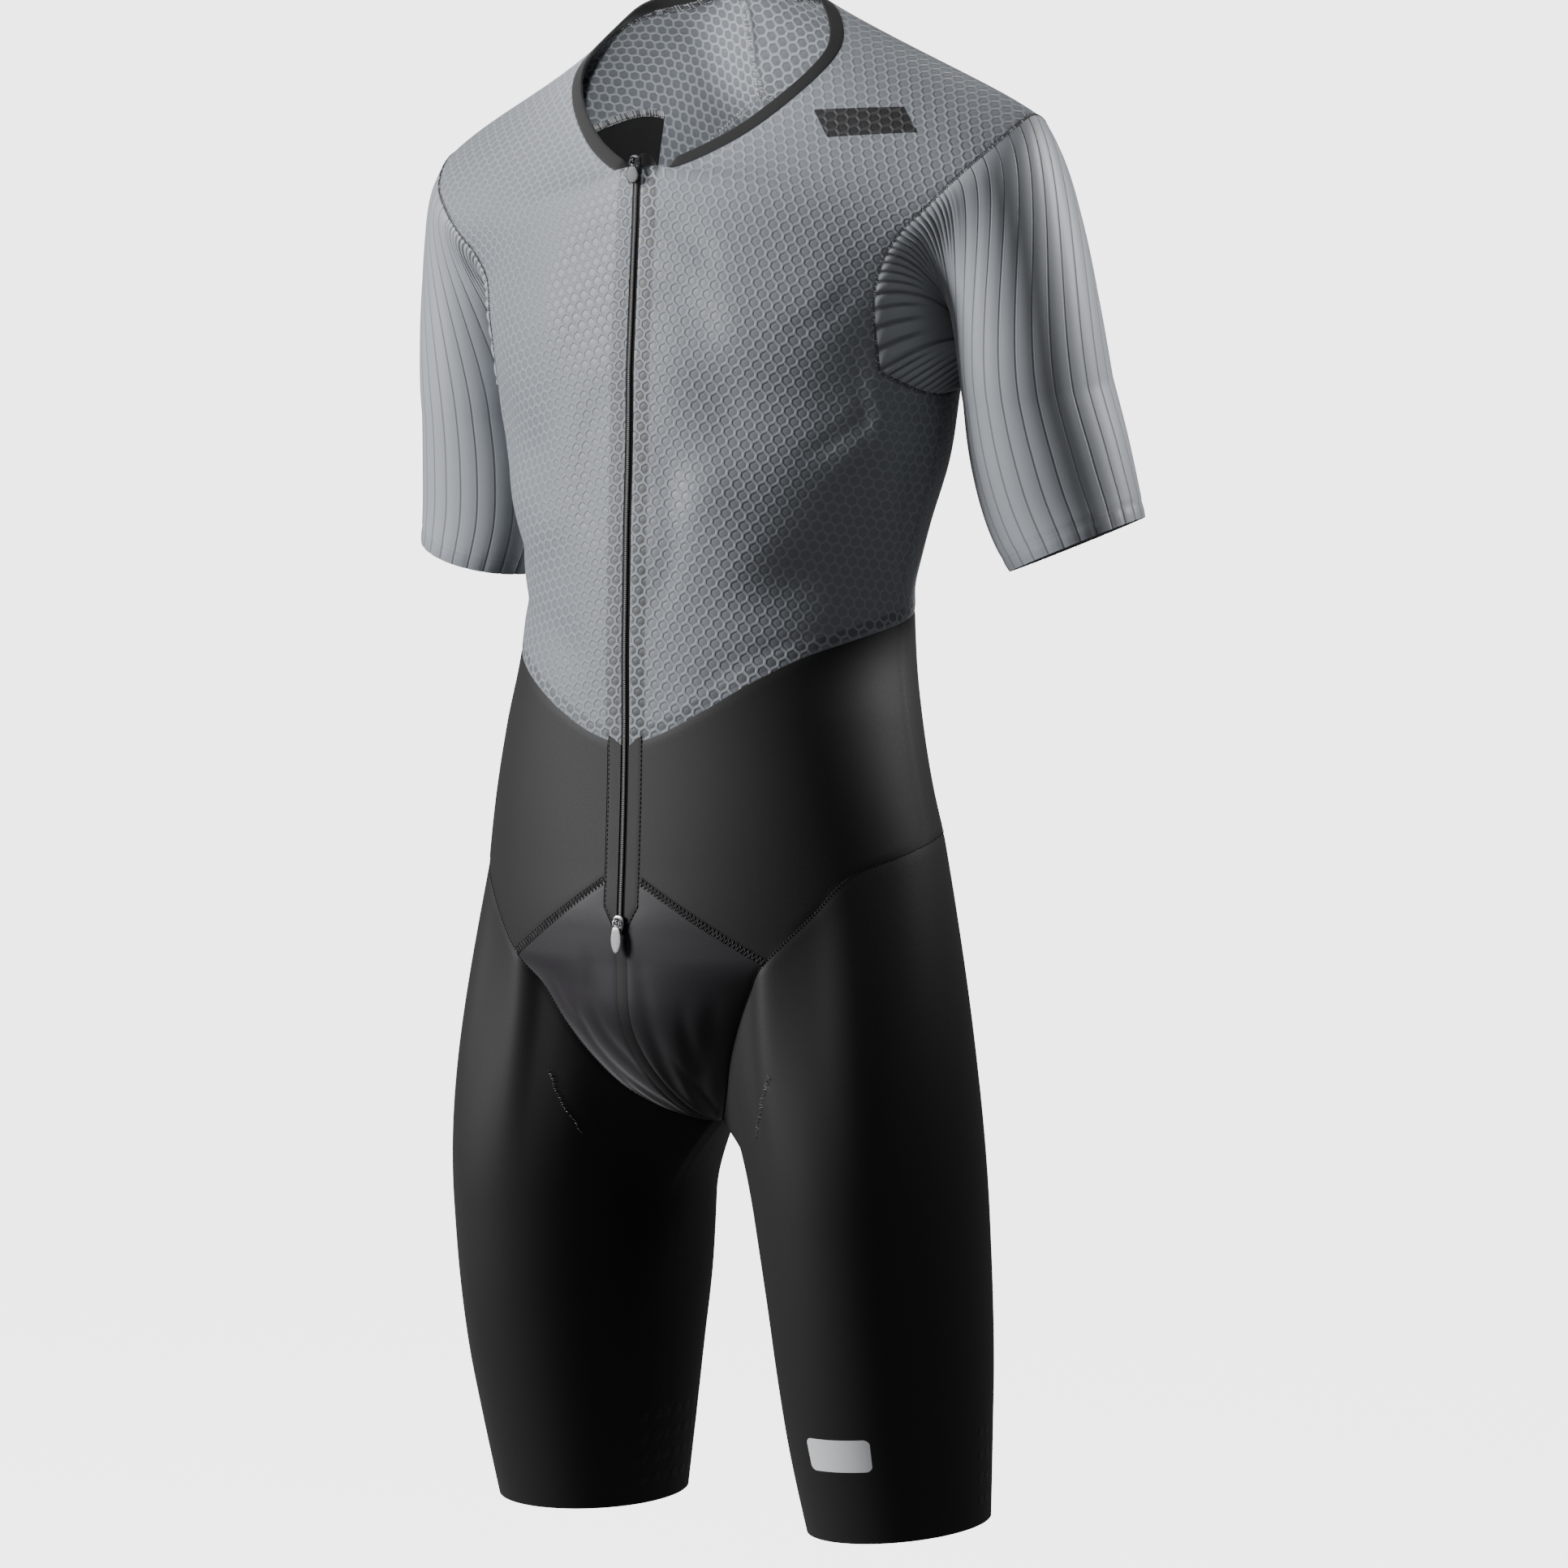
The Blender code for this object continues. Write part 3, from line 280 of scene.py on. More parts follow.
def cloth(name, grids, flats, look, thick, lifts=None, marks=None, mirror=False):
    """A thin closed piece of cloth on grids of points in mm; marks are numbers kept at its points."""
    points, first, index = joined(grids)
    pick = lambda arrays: np.vstack([np.asarray(x).reshape(g.shape[0] * g.shape[1], -1) for x,
                                     g in zip(arrays, grids)])[first]
    around = lambda at: np.stack([at[:-1, :-1], at[1:, :-1], at[1:, 1:], at[:-1, 1:]], 2)
    quads = np.vstack([around(at).reshape(-1, 4) for at in index])
    spots = np.vstack([around(np.asarray(flat)).reshape(-1, 4, 2) for flat in flats])
    normal = np.zeros_like(points)
    a, b, c, d = (points[quads[:, i]] for i in range(4))
    way = np.cross(c - a, d - b)
    for i in range(4):
        np.add.at(normal, quads[:, i], way)
    normal = unit(normal)
    outer = points + normal * (pick(lifts) if lifts is not None else 0)
    inner = outer - normal * thick
    ways = np.vstack([quads[:, [i, (i + 1) % 4]] for i in range(4)])
    way_spots = np.vstack([spots[:, [i, (i + 1) % 4]] for i in range(4)])
    _, place, times = np.unique(np.sort(ways, 1), axis=0, return_index=True, return_counts=True)
    lone = place[times == 1]
    lone = lone[ways[lone, 0] != ways[lone, 1]]
    rim, size = ways[lone], len(points)
    faces = np.vstack([quads, quads[:, ::-1] + size,
                       np.stack([rim[:, 1], rim[:, 0], rim[:, 0] + size, rim[:, 1] + size], 1)])
    spots = np.vstack([spots, spots[:, ::-1], way_spots[lone][:, [1, 0, 0, 1]]])
    kind = np.repeat([0, 1, 2], [len(quads), len(quads), len(rim)])
    both = np.vstack([outer, inner]) * 0.001
    if mirror:
        both, spots, faces = both * [-1, 1, 1], spots[:, ::-1] * [-1, 1], faces[:, ::-1]
    keep = np.ones(faces.shape, bool)
    for i in range(1, 4):
        keep[:, i] = (faces[:, i:i + 1] != faces[:, :i]).all(1)
    keep[keep.sum(1) < 3] = False
    mesh = bpy.data.meshes.new(name)
    mesh.from_pydata(both.tolist(), [], [f[k].tolist() for f, k in zip(faces, keep) if k.any()])
    corner, spots, kind = faces[keep], spots[keep], np.repeat(kind, keep.sum(1))
    mesh.uv_layers.new(name="flat").data.foreach_set("uv", (spots * 0.001).astype(np.float32).ravel())
    low, high = spots.min(0), spots.max(0)
    share = (spots - low) / (high - low) * [0.485, 0.97] + [0.005, 0.015]
    share[:, 0] += np.where(kind == 1, 0.505, 0) + np.where((kind == 2) & (corner >= size), 0.004, 0)
    mesh.uv_layers.new(name="OFBake").data.foreach_set("uv", share.astype(np.float32).ravel())
    for label, arrays in (marks or {}).items():
        values = pick(arrays)[:, 0]
        stored = mesh.attributes.new(label, "FLOAT", "POINT")
        stored.data.foreach_set("value", np.tile(values, 2).astype(np.float32))
    inside = mesh.attributes.new("inner", "FLOAT", "POINT")
    inside.data.foreach_set("value", np.repeat([0.0, 1.0], size).astype(np.float32))
    mesh.shade_smooth()
    sharp = {tuple(e) for e in np.sort(rim, 1).tolist()} | {tuple(e)
                                                            for e in (np.sort(rim, 1) + size).tolist()}
    pairs = np.empty(len(mesh.edges) * 2, np.int32)
    mesh.edges.foreach_get("vertices", pairs)
    hard = [tuple(p) in sharp for p in np.sort(pairs.reshape(-1, 2), 1).tolist()]
    mesh.attributes.new("sharp_edge", "BOOLEAN", "EDGE").data.foreach_set("value", hard)
    thing = bpy.data.objects.new(name, mesh)
    bpy.context.scene.collection.objects.link(thing)
    mesh.materials.append(look)
    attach(thing, "suit")
    return thing


class Value:
    """A number that changes over a surface; sums written with it become Math nodes."""

    def __init__(self, look, socket):
        self.look, self.socket = look, socket

    def math(self, operation, *others, first=True):
        around = (self.socket, *others) if first else (*others, self.socket)
        return self.look.value("ShaderNodeMath", {"operation": operation}, dict(enumerate(around)))

    def __add__(self, other): return self.math("ADD", other)
    def __radd__(self, other): return self.math("ADD", other)
    def __sub__(self, other): return self.math("SUBTRACT", other)
    def __rsub__(self, other): return self.math("SUBTRACT", other, first=False)
    def __mul__(self, other): return self.math("MULTIPLY", other)
    def __rmul__(self, other): return self.math("MULTIPLY", other)
    def __truediv__(self, other): return self.math("DIVIDE", other)
    def __abs__(self): return self.math("ABSOLUTE")
    def least(self, other): return self.math("MINIMUM", other)
    def most(self, other): return self.math("MAXIMUM", other)
    def wave(self): return self.math("SINE")
    def root(self): return self.math("SQRT")
    def saw(self): return self.math("FRACT")


class Look:
    """A material being made: node() adds a node, mixed() blends two colours by a value."""

    def __init__(self, name, rough, **fixed):
        self.material = bpy.data.materials.new(name)
        self.material.use_nodes = True
        self.tree = self.material.node_tree
        self.shader = self.tree.nodes["Principled BSDF"]
        self.shader.inputs["Roughness"].default_value = rough
        for socket, value in fixed.items():
            self.shader.inputs[socket.replace("_", " ").title().replace("Ior", "IOR")].default_value = value

    def node(self, kind, settings=None, inputs=None):
        made = self.tree.nodes.new(kind)
        for name, value in (settings or {}).items():
            if name == "stops":
                while len(made.color_ramp.elements) < len(value):
                    made.color_ramp.elements.new(0.5)
                for element, (place, color) in zip(made.color_ramp.elements, value):
                    element.position, element.color = place, color
            else:
                setattr(made, name, value)
        for name, value in (inputs or {}).items():
            self.plug(made.inputs[name], value)
        return made

    def plug(self, socket, value):
        value = getattr(value, "socket", value)
        if isinstance(value, bpy.types.NodeSocket):
            self.tree.links.new(value, socket)
        else:
            socket.default_value = value

    def value(self, kind, settings=None, inputs=None, output=0):
        return Value(self, self.node(kind, settings, inputs).outputs[output])

    def mark(self, name):
        return self.value("ShaderNodeAttribute", {"attribute_name": name}, output="Fac")

    def flat(self):
        """Place on the flat cut, in mm: across and along."""
        place = self.node("ShaderNodeUVMap", {"uv_map": "flat"}).outputs[0]
        parts = self.node("ShaderNodeSeparateXYZ", {}, {0: place})
        return place, Value(self, parts.outputs[0]) * 1000, Value(self, parts.outputs[1]) * 1000

    def step(self, value, low, high):
        """Rises softly from 0 to 1 as the value goes from low to high."""
        flip = low > high
        made = self.value("ShaderNodeMapRange", {"interpolation_type": "SMOOTHSTEP"},
                          {"Value": value, "From Min": min(low, high), "From Max": max(low, high),
                           "To Min": 1.0 if flip else 0.0, "To Max": 0.0 if flip else 1.0})
        return made

    def noise(self, place, scale, detail=2.0, rough=0.5):
        return self.value("ShaderNodeTexNoise", {"noise_dimensions": "3D"},
                          {"Vector": place, "Scale": scale, "Detail": detail, "Roughness": rough}, "Fac")

    def mixed(self, share, one, other):
        made = self.node("ShaderNodeMix", {"data_type": "RGBA"})
        self.plug(made.inputs[0], share)
        for socket, color in ((made.inputs[6], one), (made.inputs[7], other)):
            self.plug(socket, (*color, 1.0) if isinstance(color, tuple) and len(color) == 3 else color)
        return made.outputs[2]

    def finish(self, color=None, rough=None, heights=()):
        """Plugs the colour, the roughness and bumps, each height in mm, into the shader."""
        if color is not None:
            self.plug(self.shader.inputs["Base Color"], (*color, 1.0) if isinstance(color, tuple) else color)
        if rough is not None:
            self.plug(self.shader.inputs["Roughness"], rough)
        normal = None
        for height, strength in heights:
            made = self.node("ShaderNodeBump", {},
                             {"Strength": strength, "Distance": 0.001, "Height": height})
            if normal is not None:
                self.plug(made.inputs["Normal"], normal)
            normal = made.outputs[0]
        if normal is not None:
            self.plug(self.shader.inputs["Normal"], normal)
        return self.material


def mesh_cells(look, wide=CELL_WIDE, tall=CELL_TALL):
    """How far a place is inside its cell of the mesh: 0 on the ridge between two cells, in mm."""
    place, across, along = look.flat()
    ways = []
    for shift in (0.0, 0.5):
        x = abs((across / wide + shift).saw() - 0.5) * wide
        y = abs((along / tall + shift).saw() - 0.5) * tall
        ways += [(x * x + y * y).root(), ((wide - x) * (wide - x) + y * y).root()]
    first, beside, second, beyond = ways
    nearest = first.least(second)
    next_one = first.most(second).least(beside.least(beyond))
    return place, (next_one - nearest) * 0.5


def mesh_look(name, sheer=1.0, patch=None):
    look = Look(name, 0.62, sheen_weight=0.25, sheen_roughness=0.4, specular_ior_level=0.35)
    place, inside = mesh_cells(look)
    ridge = look.step(inside, 1.5, 0.25)
    knit = look.noise(place, 1400, 2.0)
    cloud = look.noise(place, 14, 3.0)
    yarn = look.mixed(cloud, (0.192, 0.208, 0.232), (0.224, 0.241, 0.264))
    thin = look.mixed(cloud, (0.140, 0.153, 0.172), (0.162, 0.176, 0.196))
    body = look.mixed(ridge, thin, yarn)
    within = look.mark("inner")
    body = look.mixed(within * (1 - ridge) * 0.6, body, (0.070, 0.077, 0.085))
    zip_side = look.step(look.mark("from_zip"), 13.5, 11.0) * look.step(look.mark("from_zip"), 1.0, 2.5)
    low_side = look.step(look.mark("from_waist"), 9.5, 7.5) * look.step(look.mark("from_waist"), 1.5, 3.0)
    dark = zip_side.most(low_side * 0.6) * look.step(inside, 0.55, 1.3)
    body = look.mixed(dark * (0.85 * sheer), body, (0.030, 0.034, 0.036))
    if patch:
        body = look.mixed(patch(look), body, look.mixed(ridge, (0.012, 0.012, 0.013), (0.028, 0.028, 0.030)))
    # Painted shade: the colour darkens within 1.6 mm of each seam, where the sewn cloth sinks.
    sewn = look.step(look.mark("from_seam"), 1.6, 0.2)
    body = look.mixed(sewn * 0.35, body, (0.05, 0.055, 0.06))
    return look.finish(body, 0.50 + 0.22 * ridge,
                       [(0.42 * ridge + 0.12 * look.step(inside, 1.0, 3.2), 1.0), (knit * 0.05, 0.6)])


FINE = 6  # steps of the shown cloth to one of the solid's
COLS, UNDER = 8 * FINE, 4 * FINE
side_share = (1 - UNDER_FRONT) / (UNDER_BACK - UNDER_FRONT)
under_shares = np.concatenate([np.linspace(0, side_share, UNDER + 1),
                               np.linspace(side_share, 1, UNDER + 1)[1:]])
over = over_grid(0, YOKE, 2 * YOKE * FINE, COLS)
eased = np.zeros(over.shape[:2])
eased[2:-2, 3:-3] = np.clip((np.abs(np.arange(len(over)) / (2 * FINE) - 3.6)[2:-2, None] - 2.2) / -1.0, 0, 1)
eased *= np.clip((np.minimum(np.arange(COLS + 1), COLS - np.arange(COLS + 1)) - 3) / 7, 0, 1)[None]
for _ in range(90):
    around = (np.roll(over, 1, 0) + np.roll(over, -1, 0) + np.roll(over, 1, 1) + np.roll(over, -1, 1)) / 4
    over = over + 0.5 * eased[..., None] * (around - over)
top_turn = np.concatenate([np.linspace(turn_at(ZIP_HALF, -247.0), UNDER_FRONT, COLS + 1),
                           blend(UNDER_FRONT, UNDER_BACK, under_shares[1:UNDER + 1])])
top = np.vstack([over[0], underarm(under_shares[1:UNDER + 1])])
low_turn = np.linspace(turn_at(ZIP_HALF, -485.0), 1.0, COLS + UNDER + 1)
front_low = body_grid(top, top_turn, low_turn, waist_height(low_turn), 8 * FINE, ZIP_HALF)
front_grids = [over[::-1], front_low]
front_flat = laid_flat(front_grids, 6)
zip_line = np.vstack([over[2 * NECK_FRONT * FINE::-6, 0], front_low[::6, 0]])
neck_line = over[2 * NECK_FRONT * FINE:2 * NECK_BACK * FINE + 1:3, 0]
waist_line = ring(low_turn[::4], waist_height(low_turn[::4]))
yoke_line = over[-1][::4]
arm_line = armhole(np.linspace(0, LAST + 4, 90))


def distances(grids, line):
    return [near(g.reshape(-1, 3), line).reshape(g.shape[:2]) for g in grids]


def seam_sink(*found, deep=0.5, wide=2.2):
    """The cloth sinks a little where it is sewn."""
    return [-deep * np.exp(-(np.minimum.reduce(d) / wide) ** 2) for d in zip(*found)]


front_marks = {"from_zip": distances(front_grids, zip_line), "from_waist": distances(front_grids, waist_line)}
edge_of = [distances(front_grids, line) for line in (neck_line, yoke_line, arm_line)]
front_marks["from_seam"] = [np.minimum.reduce(d)
                            for d in zip(front_marks["from_zip"], front_marks["from_waist"], *edge_of)]


PRINT_AT, PRINT_HALF, PRINT_TURN, PRINT_SLANT = (103, -196), (30, 11), 20, 0.55  # mm, degrees


def lozenge(look):
    """A plain dark printed bar on the wearer's left of the chest."""
    _, across, along = look.flat()
    x, y = across - PRINT_AT[0], along - PRINT_AT[1]
    turn = math.radians(PRINT_TURN)
    length = x * math.cos(turn) + y * math.sin(turn)
    height = y * math.cos(turn) - x * math.sin(turn)
    ends = look.step(abs(length + PRINT_SLANT * height) / PRINT_HALF[0], 1.0, 0.985)
    return ends * look.step(abs(height), PRINT_HALF[1], PRINT_HALF[1] - 0.4)


def pressed(grids, clear, folds):
    """Troughs and ridges given one by one: two ends (x, z) in mm, half width and height, flat near a seam."""
    found = []
    for grid, room in zip(grids, clear):
        x, z = grid[..., 0], grid[..., 2]
        total = 0 * x
        for x0, z0, x1, z1, wide, high in folds:
            dx, dz, size = x1 - x0, z1 - z0, math.hypot(x1 - x0, z1 - z0)
            share = ((x - x0) * dx + (z - z0) * dz) / size ** 2
            bend = 0.35 * size * np.clip(share, 0, 1) * np.clip(1 - share, 0, 1)
            off = ((x - x0) * dz - (z - z0) * dx) / size + bend
            fade = np.clip(np.minimum(share + 0.25, 1.25 - share) / 0.5, 0, 1)
            total += high * np.exp(-(off / wide) ** 2) * fade * fade * (3 - 2 * fade)
        found.append(total * np.clip(room / 14, 0, 1))
    return found


FRONT_FOLDS = {
    "left": ((152, -268, 52, -262, 32, -5.0), (140, -205, 60, -215, 34, 3.0),
             (134, -296, 108, -392, 30, -3.8),
             (96, -372, 48, -318, 26, 3.5), (60, -455, 110, -430, 16, -2.0),
             (158, -258, 118, -300, 5.0, -1.3),
             (163, -266, 132, -322, 4.4, -1.2), (166, -276, 146, -342, 4.8, -1.4),
             (150, -392, 96, -424, 5.5, -1.2),
             (152, -410, 112, -436, 4.5, -0.9), (20, -150, 58, -178, 9, -1.2), (22, -196, 64, -222, 11, -1.1),
             (142, -196, 112, -224, 6, -0.9), (28, -300, 24, -395, 10, -1.4)),
    "right": ((148, -262, 84, -300, 26, -5.5), (130, -205, 56, -212, 32, 2.6), (120, -300, 70, -352, 24, 3.2),
              (150, -318, 104, -368, 9, -2.2), (152, -350, 100, -402, 8, -1.8),
              (162, -262, 128, -304, 4.8, -1.3),
              (165, -274, 140, -330, 4.4, -1.1), (24, -156, 66, -190, 10, -1.3),
              (26, -262, 30, -350, 12, -1.6),
              (40, -430, 96, -404, 14, -1.8), (144, -190, 116, -216, 5, -0.8)),
}
side_line = np.vstack([front_low[::3, -1], underarm(under_shares)[::2]])
front_room = [np.minimum(*d) for d in zip(front_marks["from_seam"], distances(front_grids, side_line))]
front_sink = seam_sink(front_marks["from_zip"], front_marks["from_waist"], edge_of[2])
for label, flip in (("left", False), ("right", True)):
    front_lift = [s + f for s, f in zip(front_sink, pressed(front_grids, front_room, FRONT_FOLDS[label]))]
    look = mesh_look("grey mesh front " + label, 1.15 if label == "left" else 0.9, None if flip else lozenge)
    piece = cloth("front_mesh_" + label, front_grids, front_flat, look, DEEP_FRONT, front_lift, front_marks,
                  flip)
    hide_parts("mesh_front_" + label)

# Mesh back. The same embossed mesh below the yoke seam, two halves overlocked to the front at the
# sides and to each other down the centre of the back.
yoke_grid = over_grid(YOKE, LAST, 6 * FINE, COLS)
back_turn = np.concatenate([np.linspace(2, UNDER_BACK, COLS + 1),
                            blend(UNDER_FRONT, UNDER_BACK, under_shares[UNDER:-1][::-1])])
back_top = np.vstack([yoke_grid[-1], underarm(under_shares[UNDER:-1][::-1])])
back_turns = np.concatenate([np.linspace(2, 1.42, COLS + 1), np.linspace(1.42, 1, UNDER + 1)[1:]])
back_low = body_grid(back_top, back_turn, back_turns, waist_height(back_turns), 8 * FINE)
back_grids = [yoke_grid[:, ::-1], back_low[:, ::-1]]
back_flat = laid_flat([yoke_grid, back_low], 6)
back_flat = [f[:, ::-1] * [-1, 1] for f in back_flat]
back_waist = ring(back_turns[::4], waist_height(back_turns[::4]))
spine = np.vstack([yoke_grid[::6, 0], back_low[::6, 0]])
edge_of = [distances(back_grids, line) for line in (spine, yoke_line, arm_line, side_line, back_waist)]
BACK_FOLDS = {
    "left": ((20, -330, 120, -352, 16, -2.4), (30, -395, 130, -380, 12, -2.0), (150, -240, 96, -300, 7, -1.4),
             (152, -262, 112, -326, 6, -1.2), (24, -190, 70, -236, 14, -1.6)),
    "right": ((26, -342, 126, -338, 15, -2.2), (22, -404, 118, -398, 12, -2.1),
              (152, -246, 104, -292, 6, -1.3),
              (150, -270, 108, -318, 6.5, -1.2), (30, -200, 84, -228, 13, -1.5)),
}
back_marks = {"from_zip": [0 * d + 50 for d in edge_of[0]], "from_waist": edge_of[4],
              "from_seam": [np.minimum.reduce(d) for d in zip(*edge_of)]}
for label, flip in (("left", False), ("right", True)):
    look = mesh_look("grey mesh back " + label, 0.8)
    back_lift = [s + f for s, f in zip(seam_sink(*edge_of),
                                       pressed(back_grids, back_marks["from_seam"], BACK_FOLDS[label]))]
    piece = cloth("back_mesh_" + label, back_grids, back_flat, look, DEEP_FRONT, back_lift, back_marks, flip)
    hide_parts("mesh_back_" + label)

# Sleeves. Smooth satin jersey with grooves knitted in from the armhole to the cuff. Under the arm
# the cloth is gathered in small pleats and folds up into the armpit, and the cuff has a bonded hem.
ARM = ((220.5, 38, -258, 47.5, 50), (223.5, 46, -294, 51, 50), (229.5, 52, -328, 51, 48),
       (239, 56, -356, 47, 46))
ARM_ANGLES = ((0, 150), (1.5, 168), (3, 190), (5, 226), (6.5, 279), (8, 329), (10, 385), (13, 436),
              (15, 458), (17, 484), (19, 510))
# Row of the armhole, way the sleeve leaves it, how far that holds, and how far it hangs straight.
SLEEVE_REACH = (
    (0, 0.80, 0.30, 0.45, 60, 1.6),
    (1.5, 0.85, 0.25, 0.10, 62, 1.7),
    (3, 0.85, 0.22, -0.28, 62, 1.5),
    (5, 0.82, -0.10, -0.58, 62, 1.1),
    (6.5, 0.62, -0.12, -0.75, 100, 1.0),
    (8, 0.50, 0.05, -0.86, 130, 1.0),
    (10, 0.60, 0.35, -0.70, 110, 1.0),
    (13, 0.80, 0.35, -0.45, 70, 1.0),
    (15, 0.88, 0.20, -0.10, 50, 1.2),
    (17, 0.75, 0.35, 0.30, 42, 1.5),
    (19, 0.80, 0.30, 0.45, 60, 1.6),
)
CUFF_DROP = 0.08  # how much lower the cuff hangs toward the front and outside
DEEP_SLEEVE, CUFF_HEM, GROOVES, PITCH, PLEATS = 1.0, 10.0, 26, 11.85, 4


def arm_ring(angle, along):
    """Point of the sleeve below the armhole; along 0 at the first ring to 1 at the cuff."""
    angle, along = np.broadcast_arrays(np.asarray(angle, float), np.asarray(along, float))
    table = np.array(ARM, float)
    knots = np.linspace(0, 1, len(table))
    found = smooth(knots, table, along)
    axis = unit(smooth(knots, table[:, :3], np.clip(along + 0.01, 0, 1))
                - smooth(knots, table[:, :3], np.clip(along - 0.01, 0, 1)))
    side = unit(np.stack([-axis[..., 2], 0 * axis[..., 0], axis[..., 0]], -1))
    front = np.cross(side, axis)
    reach = side * (found[..., 3] * np.cos(angle))[..., None]
    reach = reach + front * (found[..., 4] * np.sin(angle))[..., None]
    drop = CUFF_DROP * along**2 * (reach @ np.array([0.53, -0.85, 0.0]))
    return found[..., :3] + reach + axis * drop[..., None], axis


def arm_angle(row):
    pairs = np.array(ARM_ANGLES, float)
    return smooth(pairs[:, 0], pairs[:, 1], row)[..., 0]


def sleeve(row, down):
    """Point of the sleeve; row goes round as at the armhole, down 0 seam, 1 first ring, 2 cuff."""
    row, down = np.broadcast_arrays(np.asarray(row, float), np.asarray(down, float))
    reach = np.array(SLEEVE_REACH, float)
    angle = np.radians(arm_angle(row))
    pull = smooth(reach[:, 0], reach[:, 1:], row)
    seam = armhole(row)
    first, axis = arm_ring(angle, 0 * down)
    span = np.linalg.norm(first - seam, axis=-1, keepdims=True)
    top = hermite(seam, first, unit(pull[..., :3]) * pull[..., 3:4], axis * span * pull[..., 4:5],
                  np.clip(down, 0, 1)[..., None])
    low, _ = arm_ring(angle, np.clip(down - 1, 0, 1))
    return np.where((down <= 1)[..., None], top, low)


columns = np.concatenate([np.linspace(0, 5, 121), np.linspace(5, LAST, 125)[1:],
                          np.linspace(LAST, 19, 61)[1:]])
down = np.concatenate([np.linspace(0, 1, 61), np.linspace(1, 2, 41)[1:]])
sleeve_grid = sleeve(columns[None], down[:, None])
run = np.cumsum(np.concatenate([np.zeros((1, len(columns))),
                                np.linalg.norm(np.diff(sleeve_grid, axis=0), axis=-1)]), 0)
left_to_cuff = run[-1][None] - run
groove_at = (arm_angle(columns) - arm_angle(0.0)) / 360 * GROOVES
sleeve_flat = np.stack(np.broadcast_arrays((groove_at * PITCH)[None], -run), -1)
fade = np.clip(run / 12.0, 0, 1) * np.clip(left_to_cuff / 4, 0, 1)
front_pleats = np.clip((5.2 - columns) / 1.4, 0, 1)
under_pleats = np.clip((columns - 15.5) / 1.5, 0, 1)
gather = np.maximum(front_pleats, under_pleats)[None] * np.exp(-(run / 34.0) ** 2)
puff = 0.35 * np.abs(np.sin(math.pi * groove_at))[None] ** 0.7 * fade * (1 - 0.9 * gather)
uneven = 1 + 0.35 * np.sin(groove_at * 7.1) + 0.25 * np.sin(groove_at * 12.7 + 1)
pleat_wave = (np.abs(np.sin(math.pi * PLEATS * groove_at)) ** 0.8 - 0.7) * 1.5 * uneven
pleats = gather * pleat_wave[None] * np.clip(run / 2.5, 0, 1)
hem_wave = 0.35 * np.exp(-((left_to_cuff - CUFF_HEM) / 2.2) ** 2)
hem_pinch = 0.5 * (np.cos(2 * math.pi
                          * groove_at)[None] > 0.85) * np.clip(1 - left_to_cuff / (1.6 * CUFF_HEM), 0, 1)
sleeve_lift = puff + pleats - hem_wave - hem_pinch
sleeve_marks = {"from_cuff": [left_to_cuff], "from_arm": [run], "gather": [gather]}


def sleeve_look(name):
    look = Look(name, 0.45, sheen_weight=0.4, sheen_roughness=0.35, specular_ior_level=0.4)
    place, across, along = look.flat()
    gathered = look.mark("gather")
    beside = abs((across / PITCH + 0.5).saw() - 0.5) * PITCH
    between = abs((across * (PLEATS / PITCH) + 0.5).saw() - 0.5) * (PITCH / PLEATS)
    groove = look.step(beside, 1.05, 0.15) * (1 - 0.4 * gathered)
    pleat = look.step(between, 0.75, 0.1) * look.step(gathered, 0.12, 0.6)
    groove = groove.most(pleat)
    hem = look.step(look.mark("from_cuff"), 10.5, 9.5)
    cloud, fleck = look.noise(place, 20, 3.0), look.noise(place, 900, 2.0)
    body = look.mixed(cloud, (0.240, 0.258, 0.284), (0.278, 0.296, 0.322))
    body = look.mixed(hem * 0.30, body, (0.120, 0.130, 0.145))
    # Painted shade: the grooves and the folds of the pleats are darkened in the colour as well as sunk by the
    # bump.
    body = look.mixed(groove * 0.62, body, (0.045, 0.050, 0.058))
    knit = (across * 5.2).wave() * (along * 6.4).wave()
    # Painted shade: a dark line along the armhole seam.
    line = look.step(look.mark("from_arm"), 1.2, 0.2)
    body = look.mixed(line * 0.5, body, (0.05, 0.055, 0.06))
    return look.finish(body, 0.40 + 0.15 * fleck + 0.2 * groove,
                       [(groove * -0.35, 0.7), (knit * 0.02 + fleck * 0.03, 0.5)])


for label, flip in (("left", False), ("right", True)):
    piece = cloth("sleeve_" + label + "_jersey", [sleeve_grid], [sleeve_flat],
                  sleeve_look("grey ribbed jersey " + label),
                  DEEP_SLEEVE, [sleeve_lift], sleeve_marks, flip)
    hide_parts("sleeve_" + label, "underarm_gusset_" + label)

